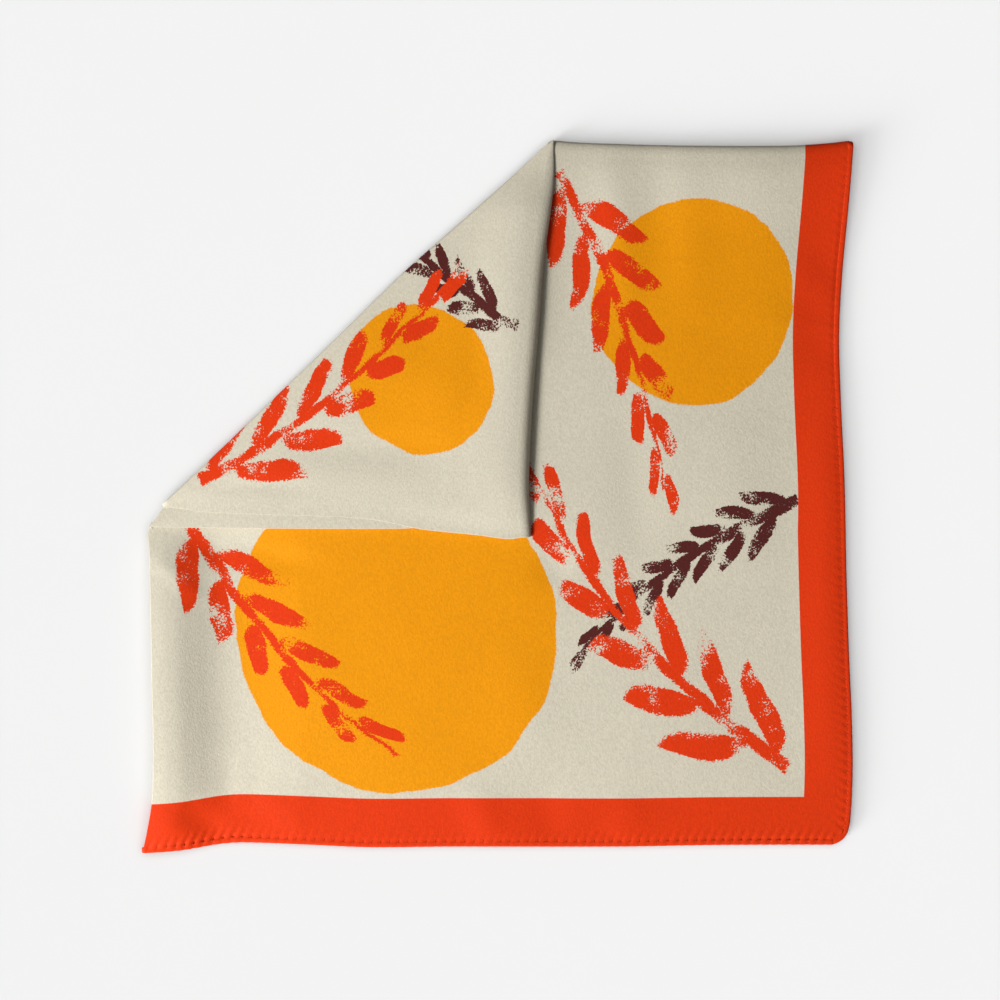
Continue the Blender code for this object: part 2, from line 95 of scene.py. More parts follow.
CORNER_APEX_X = 31.6  # where its slanting fold ends at the top fold
INNER_FOLD_EDGE = (  # (x, y), the fold that shows below the lower edge
    (-226, -20), (-150, -21), (-66, -21.2), (-49, -20.5), (-20, -19),
)
INNER_FOLD_LEFT = (  # (share of the way below the turned corner, x) of its left end
    (0, -224.9), (0.35, -220.8), (0.7, -217.8), (1, -214.6),
)
INNER_FOLD_RIGHT_X = -50.0
INNER_FOLD_END = (  # (x, y) where it ends below the turned corner
    (-217, -6.4), (-211, -4.2), (-200, -3.8), (-150, -5.5), (-115, -7), (-75, -11), (-57, -14),
)
HIDDEN_EDGE = (  # (x, y) where the layers that run on below the turned corner end
    (-226, -18), (-212, -15), (-200, -9), (-180, -6.5), (-150, -6), (-115, -7.5), (-75, -12), (-49, -15.7),
    (-13, -19.3), (22, -19),
)
HIDDEN_TIP = ((-30, -240), (-22, -222), (-14, -215.5), (-3, -209))  # (y, x) of their left tip
TUCK = 6.0  # how far the front layer runs on below the turned corner's right edge
APEX_Y = 150.0  # above it the front layer starts beside the slanting fold instead
APEX_TUCK = 1.5  # and so far inside that fold

# ---------------------------------------------------------------- heights

FRONT_FLAT = 4.3  # top of the front layer where it lies flat
LAYER_TOPS = (0.45, 1.55, 2.65)  # tops of the three hidden layers, from the lowest
FRONT_CLEAR = 0.4  # least height of the front layer above them
FLOOR_GAP = 0.15  # between the surface and a fold's lip that comes down to it
FOLD_GAP = 0.3  # between a fold's lip and the layer it comes down on
LEFT_RISE = (  # (y, rise) of the left fold above the flat middle
    (-230, 2.2), (-205, 5.2), (-170, 6.6), (-110, 6.2), (-70, 5.6), (-40, 4.3), (-20, 2.4), (-5, 1.8),
)
LEFT_FALL = (  # (inset, share of the rise)
    (0, 1), (6, 1), (11, 0.96), (18, 0.82), (28, 0.46), (36, 0.16), (44, -0.06), (52, -0.16), (62, -0.17),
    (96, 0),
)
TOP_RISE = ((30, 2), (66, 2.2), (92, 3), (131, 3.6), (170, 4.2), (230, 4.1))  # (x, rise) of the top fold
TOP_FALL = ((0, 0.8), (7, 0.9), (16, 1), (30, 0.86), (55, 0.45), (90, 0.1), (120, 0))  # (inset, share)
CORNER_FLAT = 9.0  # top of the turned corner where it lies flat
CORNER_SLACK, CORNER_SHIFT = 0.6, 90.0  # how strong its slow waves are, by the front's, and how far aside
INNER_SLACK = 0.5  # how strong those of the inner fold are
CORNER_RIGHT_RISE = (  # (y, rise) of its right edge
    (-25, 0.7), (-10, 1.5), (10, 2.3), (60, 2.8), (150, 3.2), (184, 3.1), (197, 1.9), (210, 0.6), (231, 0),
)
CORNER_RIGHT_FALL = (  # (inset, share)
    (8, 0.84), (12, 0.95), (18, 1), (28, 0.86), (45, 0.45), (70, 0.08), (85, 0),
)
CORNER_LOWER_DROP = (  # (x, drop) of its lower edge
    (-219, 1.1), (-200, 0.8), (-180, 0.6), (-120, 0.65), (-57, 0.8), (-35, 1.2), (0, 1.5), (22, 1.6),
)
CORNER_LOWER_FALL = ((0, 1), (5, 0.96), (14, 0.6), (28, 0.18), (45, 0))  # (inset, share)
CORNER_SLANT_DROP = (  # (x, drop) of its slanting fold
    (-216, 0.2), (-195, 0.9), (-160, 2.2), (0, 2.6), (34, 2.2),
)
CORNER_SLANT_FALL = ((0, 1), (4, 0.8), (10, 0.44), (20, 0.1), (30, 0))  # (inset, share)
CORNER_LOWER_BASE = (  # (x, z), the lip of its lower edge's roll
    (-219, 7.2), (-205, 7.5), (-180, 7.95), (-120, 7.8), (-62, 7.55), (-57, 6.9), (-51, 5.2), (-42, 4.8),
    (22, 4.9),
)
CORNER_FOLD_BASE = (  # (x, z), the lip of its slanting fold's roll
    (-209, 0.3), (-25, 0.3), (5, 1.8), (22, 4.4), (34, 6.2),
)
INNER_FOLD_TOP = ((-226, 8.35), (-180, 8.3), (-120, 8.15), (-57, 7.85), (-50, 7.4))  # (x, z)
INNER_FOLD_FALL = ((-226, 1.8), (-208, 1.3), (-185, 0.6), (-57, 0.5))  # (x, fall) below the turned corner

CREASE_FALL = 0.8  # how much lower a crease is at its ends, as a share of its height
# Soft ridges (+) and troughs (-): both ends, half width and height
FRONT_CREASES = (  # (x, y, x, y, width, height)
    (-205, -32, -120, -44, 8, -1),
    (-222, -40, -190, -66, 6, 0.6),
    (70, 226, 84, 120, 14, 1.3),
    (100, 226, 108, 150, 12, -0.5),
    (126, 215, 124, 110, 16, 0.6),
    (216, 226, 204, 110, 30, -1.3),
    (30, 205, 23, 80, 11, 1.2),
    (-168, -165, -162, -212, 20, -0.5),
    (84, 60, 92, -40, 15, -0.6),
    (150, 60, 160, -60, 22, 0.6),
    (140, -80, 160, -160, 18, -0.4),
    (28, -36, 44, -54, 13, -1),
    (-130, -60, -90, -180, 22, 0.5),
    (10, -80, 20, -170, 20, 0.5),
    (-16, -186, -2, -224, 12, 0.8),
    (28, -190, 36, -224, 12, -0.6),
    (-204, -200, -178, -222, 10, -1),
    (-160, -190, -120, -214, 12, 0.5),
    (90, -196, 78, -222, 12, 0.5),
    (190, 150, 224, 120, 12, 0.6),
    (196, 104, 224, 84, 11, -0.3),
    (212, 70, 216, -190, 14, 1.1),
)
CORNER_CREASES = (  # (x, y, x, y, width, height)
    (-140, 34, -30, 27, 13, -1),
    (-80, 95, -20, 60, 22, 0.7),
    (-20, 165, -6, 50, 13, -0.5),
    (-190, 6, -120, 6, 6, -0.4),
    (-60, -4, -10, -8, 8, 0.3),
)

# ---------------------------------------------------------------- folds

# How far each fold stands out from the flat cloth beside it
LEFT_REACH = 0.2
TOP_REACH = 8.0
SLANT_REACH = ((-216.5, 0.4), (-208, 1.2), (-195, 1.8), (34, 1.8))  # (x, reach)
LOWER_REACH = 0.12
INNER_REACH = 0.12
CORNER_RIGHT_REACH = (  # (y, reach) of the turned corner's right edge
    (-28, 5.5), (-10, 7.5), (60, 8.5), (150, 9.5), (186, 10), (207, 6.5), (222, 3), (231, 0.8),
)
HIDDEN_LEFT_REACH, HIDDEN_TOP_REACH = 0.9, 0.7
APEX_COVER = 0.8  # how far the top fold stays below the slanting fold, where they meet
APEX_REACH = 0.5  # and its least reach there
CRISP = 0.0012  # share of a sheet's width, beside a crisp fold, that stays flat up to the fold

# How each rolls over: the height of its widest place, as a share of its whole height, how far it comes back
# below, and how far the cloth then runs on
LEFT_ROLL = {"belly": 0.85, "under": 3.0, "tail": 10.0}
TOP_ROLL = {"belly": 0.68, "tail": 6.0}
TOP_UNDER = 4.0  # at most
INNER_ROLL = {"belly": 0.85, "under": 1.0, "tail": 2.0}
HIDDEN_LEFT_ROLL = {"belly": 0.5, "under": 0.9, "tail": 8.0}
HIDDEN_TOP_ROLL = {"belly": 0.5, "under": 0.7, "tail": 5.0}
CORNER_ROLLS = (  # (belly, under) of the turned corner's lower edge, left end, slanting fold and right edge
    (0.6, 1.0), (0.65, 2.5), (0.65, 2.5), (0.22, 6.0),
)
TIP_ROLL = (0.4, 4.0)  # the same at its tip
TIP_REACH = 0.85  # share of the right edge's reach there
CORNER_ROOM = 2.0  # how much farther than it stands out a roll of the corner may come back

# ---------------------------------------------------------------- hems

BOTTOM, RIGHT = 0, 1  # the two hemmed edges, each by the axis that it runs along
HEMMED = (BOTTOM_EDGE, RIGHT_EDGE)
INTO = (1, -1)  # way into the cloth, on the other axis
WRAP_WAYS = ((-1, 0), (0, 1))  # way in which each hem runs round the fold at its end
HEM_EASE = (1.0, 1.15)  # above 1, the hem's sections are closer together at its start
HEM_FLATS = ((300, -SIDE), (SIDE, -300))  # (u, v) that each takes after
HEM_STARTS = (219.0, -226.0)  # where each starts along its edge, at the corner that they share
HIDDEN_STARTS = (218.0, -224.5)
BOTTOM_HEM_Y, RIGHT_HEM_X = -228.0, 229.0  # where they meet the left and the top fold
HEM_STEP = 0.8
HEM_SIDES, THREAD_SIDES = 18, 8
HEM_ROUND = 0.7  # how far a hem's section is from an oval (1) towards a bar
HEM_PROUD = 0.03  # how far a hem's top stands above the cloth's own level
LEFT_HEM_TURN = 0.8  # how far inside the left fold the bottom hem starts its turn round it
TOP_HEM_TURN = 4.2  # and the right hem below the top fold
HEM_TAIL, HIDDEN_TAIL = 8.0, 4.0  # how far they run on below
STITCH_LINE = 3.8  # inside the edge
STITCH_SLANT = -0.55  # how far a pucker leans along the hem for each unit inwards
STITCH_DRIFT = (0.6, 11.3)  # how far the stitches drift from an even spacing, and over what length
STITCH_DEPTHS = (  # (place along the hem, depth) of the dimples at the bottom hem, and at the right hem
    (
        (-229, 0.2), (-212, 0.5), (-195, 0.8), (-172, 0.7), (-150, 0.3), (-60, 0.28), (60, 0.32), (140, 0.5),
        (190, 0.7), (216, 0.6),
    ),
    ((-225, 0.4), (-200, 0.3), (-100, 0.2), (60, 0.12), (150, 0.15), (230, 0.2)),
)
DIMPLE_LENGTH, DIMPLE_WIDTH = 0.2, 1.3  # as a share of the stitch spacing, and across the hem
PINCH_LENGTH = 0.22
RIDGE_SHARE = 0.22  # height of a ridge between two dimples, as a share of their depth
RIDGE_LINE, RIDGE_WIDTH = 7.0, 3.5  # how far inside the edge it is, and how wide
VALLEY_EDGE = (3.0, 6.5)  # where the valley beside a hem's roll starts to rise, and where it ends
BOTTOM_VALLEY = 0.04  # its depth at the bottom hem
RIGHT_VALLEY = (  # (y, depth) of it at the right hem
    (-225, 0.05), (60, 0.15), (150, 0.32), (190, 0.14), (212, 0.05), (230, 0.05),
)
BAND = 15.0  # width of the finely meshed band inside a hem
BAND_START = 2.2
HIDDEN_HEM_MIDDLES = (0.68, 1.76, 2.86)  # heights of the hidden layers' hems, pressed flat
HIDDEN_HEM_HALF = (1.75, 0.54)  # half their width and height
HIDDEN_HEM_INSETS = ((0.8, 1.7, 0.9), (1.6, 0.7, 1.3))  # how far they lie inside the front's two hems
HIDDEN_HEM_ENDS = ((5.5, 2.0, 9.5), (11.0, 7.5, 4.3))  # how far inside the left, and the top edge, they end


# ---------------------------------------------------------------- sizes and colours a user may change

class ScarfSizes(bpy.types.PropertyGroup):
    """Sizes of the silk, its hem and its printed border."""

    silk: bpy.props.FloatProperty(
        name="Silk", description="Thickness of the silk shell", default=0.00015, min=0.0001, unit="LENGTH",
    )
    border: bpy.props.FloatProperty(
        name="Border", description="Width of the plain border, from the hem's edge", default=0.031,
        unit="LENGTH",
    )
    hem_width: bpy.props.FloatProperty(
        name="Hem width", description="Width of the rolled hem", default=0.0038, unit="LENGTH",
    )
    hem_height: bpy.props.FloatProperty(
        name="Hem height", description="Height of the rolled hem", default=0.0016, unit="LENGTH",
    )
    stitch_pitch: bpy.props.FloatProperty(
        name="Stitch spacing", description="Distance between hem stitches", default=0.006, unit="LENGTH",
    )
    thread: bpy.props.FloatProperty(
        name="Thread", description="Diameter of the hem's thread", default=0.00035, unit="LENGTH",
    )


class ScarfColours(bpy.types.PropertyGroup):
    """Colours of the print, the thread and the floor."""

    ground: bpy.props.FloatVectorProperty(
        name="Ground", description="Cream ground of the print", subtype="COLOR",
        default=(0.418, 0.384, 0.302),
    )
    amber: bpy.props.FloatVectorProperty(
        name="Amber", description="Amber discs", subtype="COLOR", default=(0.535, 0.196, 0.001),
    )
    red: bpy.props.FloatVectorProperty(
        name="Red-orange", description="Border and leaf sprigs", subtype="COLOR",
        default=(0.475, 0.026, 0.002),
    )
    brown: bpy.props.FloatVectorProperty(
        name="Dark brown", description="Twigs", subtype="COLOR", default=(0.058, 0.0105, 0.009),
    )
    thread: bpy.props.FloatVectorProperty(
        name="Thread", description="Hem thread", subtype="COLOR", default=(0.42, 0.024, 0.003),
    )
    floor: bpy.props.FloatVectorProperty(
        name="Floor", description="Pale floor below the scarf", subtype="COLOR", default=(0.5, 0.5, 0.5),
    )


# ---------------------------------------------------------------- curves read from tables

def read(table, at):
    """Values at places in a table of (place, value) rows: cubics sloped by the rows on both sides."""
    places, values = np.array(table, dtype=float).T
    slopes = np.empty_like(values)
    slopes[1:-1] = (values[2:] - values[:-2]) / (places[2:] - places[:-2])
    slopes[0] = (values[1] - values[0]) / (places[1] - places[0])
    slopes[-1] = (values[-1] - values[-2]) / (places[-1] - places[-2])
    at = np.clip(at, places[0], places[-1])
    i = np.clip(np.searchsorted(places, at, side="right") - 1, 0, len(places) - 2)
    span = places[i + 1] - places[i]
    t = (at - places[i]) / span
    start = (1 + 2 * t) * (1 - t) ** 2 * values[i] + t * (1 - t) ** 2 * span * slopes[i]
    end = t ** 2 * (3 - 2 * t) * values[i + 1] - t ** 2 * (1 - t) * span * slopes[i + 1]
    return start + end


def mix(a, b, t):
    return a + (b - a) * t


def fade(start, end, at):
    """0 before start, 1 after end, and smooth between them."""
    t = np.clip((at - start) / (end - start), 0.0, 1.0)
    return t * t * (3 - 2 * t)


def bump(distance, width):
    """1 in the middle of a soft bump, and 0 far from it."""
    return np.exp(-((distance / width) ** 2))


def creased(creases, x, y):
    """Height that a table of creases adds."""
    height = np.zeros_like(x)
    for x0, y0, x1, y1, width, rise in creases:
        way = np.array((x1 - x0, y1 - y0))
        t = ((x - x0) * way[0] + (y - y0) * way[1]) / (way @ way)
        near = np.clip(t, 0.0, 1.0)
        off = np.hypot(x - x0 - near * way[0], y - y0 - near * way[1])
        along = 1.0 - np.abs(2 * near - 1) ** 3 * CREASE_FALL
        height += rise * along * bump(off, width)
    return height


def slack(x, y):
    """Slow, shallow waves of cloth that lies loose."""
    waves = 0.10 * np.sin(x / 23.0 + 0.6 * np.sin(y / 41.0)) * np.cos(y / 37.0 + 0.8)
    waves += 0.07 * np.sin((x + 0.6 * y) / 13.0 + 1.3) * np.sin((y - 0.4 * x) / 29.0)
    return waves


SHARPEST = 0.15  # limits how far the mitre of a sharp corner stands out


def outward_of(points, closed=False):
    """Mitred directions, in plan, to the left of the way that the points run."""
    points = np.asarray(points)[:, :2]
    before = np.roll(points, 1, axis=0)
    after = np.roll(points, -1, axis=0)
    if not closed:
        before[0] = points[0]
        after[-1] = points[-1]

    def normals(a, b):
        way = b - a
        length = np.hypot(*way.T)[:, None]
        turned = np.stack((-way[:, 1], way[:, 0]), axis=1)
        return np.divide(turned, length, out=np.zeros_like(turned), where=length > 0)

    first, second = normals(before, points), normals(points, after)
    if not closed:
        first[0] = second[0]
        second[-1] = first[-1]
    middle = (first + second) / 2
    size = np.maximum((middle ** 2).sum(axis=1), SHARPEST)[:, None]
    return middle / size


# ---------------------------------------------------------------- forms of the cloth

def front_form(x, y):
    """Top of the front layer, without its hems' puckers."""
    left = read(LEFT_RISE, y) * read(LEFT_FALL, x - read(LEFT_EDGE, y))
    top = read(TOP_RISE, x) * read(TOP_FALL, read(TOP_EDGE, x) - y)
    form = FRONT_FLAT + left + top + creased(FRONT_CREASES, x, y) + slack(x, y)
    return np.maximum(form, LAYER_TOPS[2] + FRONT_CLEAR)


def stitch_beat(along, inward, pitch):
    """How far a place is from the nearest stitch's pucker, as a share of the stitch spacing, -0.5 to 0.5."""
    drift, length = STITCH_DRIFT
    place = (along + drift * np.sin(along / length) + STITCH_SLANT * inward) / pitch
    return place - np.round(place)


def pucker(edge, along, inward, valley, pitch):
    """Fall of the cloth at a hem: a valley beside the roll, and dimples and ridges at the stitches."""
    beat = stitch_beat(along, inward, pitch)
    dimple = bump(beat, DIMPLE_LENGTH) * bump(inward - STITCH_LINE, DIMPLE_WIDTH)
    ridges = RIDGE_SHARE * np.cos(math.tau * beat) * bump(inward - RIDGE_LINE, RIDGE_WIDTH)
    depth = read(STITCH_DEPTHS[edge], along)
    return valley * (1.0 - fade(*VALLEY_EDGE, inward)) + depth * (dimple + ridges)


def front_top(x, y, pitch):
    """Top of the front layer."""
    bottom = pucker(BOTTOM, x, y - read(BOTTOM_EDGE, x), BOTTOM_VALLEY, pitch)
    right = pucker(RIGHT, y, read(RIGHT_EDGE, y) - x, read(RIGHT_VALLEY, y), pitch)
    return front_form(x, y) - bottom - right


def corner_top(x, y):
    """Top of the turned corner."""
    right = read(CORNER_RIGHT_RISE, y) * read(CORNER_RIGHT_FALL, read(CORNER_RIGHT, y) - x)
    lower = read(CORNER_LOWER_DROP, x) * read(CORNER_LOWER_FALL, y - read(CORNER_LOWER, x))
    slanting = read(CORNER_SLANT_DROP, x) * read(CORNER_SLANT_FALL, (read(CORNER_FOLD, x) - y) * SLANT_COSINE)
    fall = np.maximum(lower, slanting)
    waves = CORNER_SLACK * slack(x + CORNER_SHIFT, y)
    return CORNER_FLAT + right - fall + creased(CORNER_CREASES, x, y) + waves


def front_flat_place(x, y):
    """(u, v) of a place on the front."""
    left, right = read(LEFT_EDGE, y), read(RIGHT_EDGE, y)
    top, bottom = read(TOP_EDGE, x), read(BOTTOM_EDGE, x)
    return np.stack((SIDE * (x - left) / (right - left), -SIDE * (top - y) / (top - bottom)), axis=-1)


def corner_flat_place(x, y):
    """(u, v) of a place on the turned corner."""
    return np.stack((y - read(CORNER_LOWER, x), read(CORNER_RIGHT, y) - x), axis=-1)


# ---------------------------------------------------------------- sheets of silk

# How a direction in plan lies in (u, v), for each stretch of the cloth
FRONT_TURN = ((1, 0), (0, 1))
CORNER_TURN = ((0, 1), (-1, 0))
INNER_TURN = ((0, -1), (1, 0))
ROLL_STEPS = 14
LEAST_REACH = 0.01


class Sheet:
    """A sheet of silk while it is shaped: its points in millimetres, their (u, v) and its faces."""

    def __init__(self, turn=FRONT_TURN):
        """turn takes a direction in plan to the same direction in (u, v), as a 2 x 2 matrix."""
        self.points = np.zeros((0, 3))
        self.flat = np.zeros((0, 2))
        self.faces = []
        self.turn = np.array(turn, dtype=float)

    def add(self, points, flat):
        start = len(self.points)
        self.points = np.concatenate((self.points, np.reshape(points, (-1, 3))))
        self.flat = np.concatenate((self.flat, np.reshape(flat, (-1, 2))))
        return np.arange(start, len(self.points))

    def join(self, near, far, closed=False):
        """Faces between two rows of as many points. far is to the left of the way that near runs."""
        count = len(near)
        for i in range(count if closed else count - 1):
            j = (i + 1) % count
            self.faces.append((near[i], near[j], far[j], far[i]))

    def spread(self, x, y, z, flat):
        """A grid of points, each row to the left of the way that the one before it runs. Returns their
        numbers."""
        grid = self.add(np.stack((x, y, z), axis=-1), flat).reshape(x.shape)
        for near, far in zip(grid, grid[1:]):
            self.join(near, far)
        return grid

    def roll(self, chain, reaches, bases, belly, under, tail=0.0, closed=False):
        """Rolls the silk on round a fold, down to each point's own base height. reaches is how far the fold
        stands out from each point, as (x, y). belly is the height of its widest place, as a share of its
        whole height, and under how far it comes back below. The tail is how far it then runs on below."""
        chain = np.asarray(chain)
        start, flat = self.points[chain], self.flat[chain]
        reaches = np.broadcast_to(reaches, (len(chain), 2))
        size = np.maximum(np.hypot(*reaches.T), LEAST_REACH)[:, None]
        ways = reaches / size
        belly, under = (np.broadcast_to(share, len(chain))[:, None] for share in (belly, under))
        heights = (start[:, 2] - bases)[:, None]
        upper, lower = heights * (1.0 - belly), heights * belly
        near, length, last = chain, np.zeros((len(chain), 1)), start
        for step in range(1, ROLL_STEPS + 1):
            turn = math.pi * step / ROLL_STEPS
            place = start.copy()
            if turn <= math.pi / 2:
                place[:, :2] += ways * size * math.sin(turn)
                place[:, 2:] -= upper * (1.0 - math.cos(turn))
            else:
                place[:, :2] += ways * (size - (1.0 - math.sin(turn)) * under)
                place[:, 2:] -= upper - lower * math.cos(turn)
            length = length + np.linalg.norm(place - last, axis=1)[:, None]
            far = self.add(place, flat + (ways @ self.turn.T) * length)
            self.join(near, far, closed)
            near, last = far, place
        if tail:
            place = last.copy()
            place[:, :2] -= ways * tail
            far = self.add(place, flat + (ways @ self.turn.T) * (length + tail))
            self.join(near, far, closed)

    def tube(self, path, across, up, widths, heights, flat, sides=HEM_SIDES):
        """A closed tube along a path, its section between an oval and a rounded bar. flat is the one (u, v)
        that its cloth takes after."""
        angles = math.tau * np.arange(sides) / sides
        out, high = (np.sign(wave) * np.abs(wave) ** HEM_ROUND for wave in (np.cos(angles), np.sin(angles)))
        out = out[None, :, None] * (across * widths[:, None])[:, None, :]
        high = high[None, :, None] * (up * heights[:, None])[:, None, :]
        points = path[:, None, :] + out + high
        grid = self.add(points, np.tile(flat, (len(path) * sides, 1))).reshape(len(path), sides)
        for near, far in zip(grid, grid[1:]):
            self.join(near, far, closed=True)
        self.faces.append(tuple(grid[0][::-1]))
        self.faces.append(tuple(grid[-1]))

    def build(self, name, material, thickness=None):
        """Makes the sheet an object. Silk has its thickness inside its outer side; a closed tube has none."""
        mesh = bpy.data.meshes.new(name)
        mesh.from_pydata(self.points * MM, [], [tuple(int(i) for i in face) for face in self.faces])
        mesh.materials.append(material)
        layer = mesh.uv_layers.new(name="cloth")
        corners = np.zeros(len(mesh.loops), dtype=np.int32)
        mesh.loops.foreach_get("vertex_index", corners)
        layer.data.foreach_set("uv", (self.flat[corners] * MM).ravel())
        if thickness is None:
            work = bmesh.new()
            work.from_mesh(mesh)
            bmesh.ops.recalc_face_normals(work, faces=work.faces)
            work.to_mesh(mesh)
            work.free()
        mesh.shade_smooth()
        made = bpy.data.objects.new(name, mesh)
        bpy.context.scene.collection.objects.link(made)
        bpy.data.collections[SILK_PIECES].objects.link(made)
        if thickness is not None:
            shell = made.modifiers.new("silk", "SOLIDIFY")
            shell.thickness = thickness
            shell.offset = -1.0
        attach(made, BODY)
        return made

    def lay(self, scene, name, node):
        """Makes the sheet a piece of the printed silk that takes a node's place."""
        made = self.build(name, printed_silk(scene), scene.scarf_sizes.silk)
        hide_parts(node)
        return made

    def declare(self, made, rests_on, with_pieces=()):
        """Does nothing with the piece, what it rests on or its other pieces."""


# ---------------------------------------------------------------- front layer

PANEL_LEFT, PANEL_RIGHT = 92, 66  # coarse strips left of the turned corner's edge, and from there to the band
PANEL_LOWER, PANEL_UPPER = 72, 88  # the same, up to the turned corner and above it
FINE = 3  # fine strips in a coarse one
BAND_STRIPS = 14
LEFT_DENSE = 0.2  # width of the strip at the left fold, as a share of the coarse strips' mean
PLAN_ROUNDS = 6  # in which the places and the edges between which they lie settle


def front_plan(s, t):
    """Places on the front. s is 0 at the left fold, 1 at the turned corner, 2 at the right hem's band and 3
    at the hem. t is 0 at the bottom hem, 1 past its band, 2 at the turned corner and 3 at the top fold."""
    x = np.zeros_like(s)
    y = np.where(t <= 2, -SIDE / 4, SIDE / 4)
    for _ in range(PLAN_ROUNDS):
        beside_fold = np.where(y > APEX_Y, read(FOLD_X, y) + APEX_TUCK, -SIDE)
        inner = np.maximum(read(CORNER_RIGHT, y) - TUCK, beside_fold)
        start = read(LEFT_EDGE, y) + LEFT_REACH
        end = read(RIGHT_EDGE, y - BAND_START)
        x = np.select(
            (s <= 1, s <= 2),
            (mix(start, inner, s * mix(LEFT_DENSE, 1.0, s)), mix(inner, end - BAND, s - 1)),
            mix(end - BAND, end - BAND_START, s - 2),
        )
        bottom, hidden = read(BOTTOM_EDGE, x), read(HIDDEN_EDGE, x)
        top = read(TOP_EDGE, x) - TOP_REACH
        y = np.select(
            (t <= 1, t <= 2),
            (mix(bottom + BAND_START, bottom + BAND, t), mix(bottom + BAND, hidden, t - 1)),
            mix(hidden, top, t - 2),
        )
    return x, y


def stretches(*counts):
    """Shares 0 to 1, 1 to 2 and so on, in so many strips each."""
    return np.concatenate([np.linspace(i, i + 1, n + 1)[(1 if i else 0):] for i, n in enumerate(counts)])


def front_sheet(pitch):
    """The front layer: an L round the turned corner, finely meshed at its hems, rolled over its folds."""
    columns = stretches(FINE * PANEL_LEFT, FINE * PANEL_RIGHT, BAND_STRIPS)
    rows = stretches(BAND_STRIPS, FINE * PANEL_LOWER, FINE * PANEL_UPPER)
    last_row, last_column = len(rows) - 1, len(columns) - 1
    band_column, inner_column = FINE * (PANEL_LEFT + PANEL_RIGHT), FINE * PANEL_LEFT
    inner_row = BAND_STRIPS + FINE * PANEL_LOWER

    def kept(i, j):
        coarse = (i - BAND_STRIPS) % FINE == 0 and j % FINE == 0
        shown = j >= inner_column or i <= inner_row
        return shown and (coarse or i <= BAND_STRIPS or j >= band_column)

    places = [(i, j) for i in range(len(rows)) for j in range(len(columns)) if kept(i, j)]
    spots = np.array(places)
    x, y = front_plan(columns[spots[:, 1]], rows[spots[:, 0]])
    sheet = Sheet()
    sheet.add(np.stack((x, y, front_top(x, y, pitch)), axis=1), front_flat_place(x, y))
    index = {place: k for k, place in enumerate(places)}

    def cell(i, j, size):
        """A cell's face, through every point that lies on its edges."""
        ring = [(i, j + k) for k in range(size)] + [(i + k, j + size) for k in range(size)]
        ring += [(i + size, j + size - k) for k in range(size)] + [(i + size - k, j) for k in range(size)]
        if all(corner in index for corner in ring[::size]):
            sheet.faces.append(tuple(index[place] for place in ring if place in index))

    blocks = (  # (first row, last row, first column, last column, size of a cell)
        (0, BAND_STRIPS, 0, last_column, 1),
        (BAND_STRIPS, last_row, band_column, last_column, 1),
        (BAND_STRIPS, last_row, 0, band_column, FINE),
    )
    for first_row, past_row, first_column, past_column, size in blocks:
        for i in range(first_row, past_row, size):
            for j in range(first_column, past_column, size):
                cell(i, j, size)

    left = [index[i, 0] for i in range(inner_row + 1) if (i, 0) in index]
    sheet.roll(left, (-LEFT_REACH, 0.0), LAYER_TOPS[2] + FOLD_GAP, **LEFT_ROLL)
    top = [index[last_row, j] for j in range(inner_column, last_column + 1) if (last_row, j) in index]
    x, y = sheet.points[top, :2].T
    reach = np.clip(read(CORNER_FOLD, x) - APEX_COVER - y, APEX_REACH, TOP_REACH)
    reaches = np.stack((np.zeros_like(reach), reach), axis=1)
    sheet.roll(top, reaches, FLOOR_GAP, under=np.minimum(reach, TOP_UNDER), **TOP_ROLL)
    return sheet


# ---------------------------------------------------------------- rolled hems

WRAP_STEPS = 16
BACK_STEPS = 3
STITCH_ROUNDS = 8  # in which the stitches' places settle
END_STEPS, END_SHARE = 3.0, 0.15  # over how many steps a hem's end tapers, and to what share of its size
PINCH_SINK, PINCH_NARROW, PINCH_THIN = 0.1, 0.12, 0.2  # how much stitches lower, narrow and thin the hem
UP = (0.0, 0.0, 1.0)


def wrapped(path, across, up, way, base, tail):
    """Takes a hem on round the fold at its path's end, down to a height, and some way back below."""
    last = path[-1]
    way = np.array((*way, 0.0))
    reach = (last[2] - base) / 2
    turns = math.pi * np.arange(1, WRAP_STEPS + 1) / WRAP_STEPS
    bend = last + np.outer(np.sin(turns), way) * reach
    bend[:, 2] -= reach * (1 - np.cos(turns))
    bend_up = np.outer(np.sin(turns), way) + np.outer(np.cos(turns), UP)
    back = bend[-1] - np.outer(np.arange(1, BACK_STEPS + 1) / BACK_STEPS, way) * tail
    path = np.concatenate((path, bend, back))
    up = np.concatenate((up, bend_up, np.tile(bend_up[-1], (BACK_STEPS, 1))))
    across = np.concatenate((across, np.tile(across[-1], (WRAP_STEPS + BACK_STEPS, 1))))
    return path, across, up


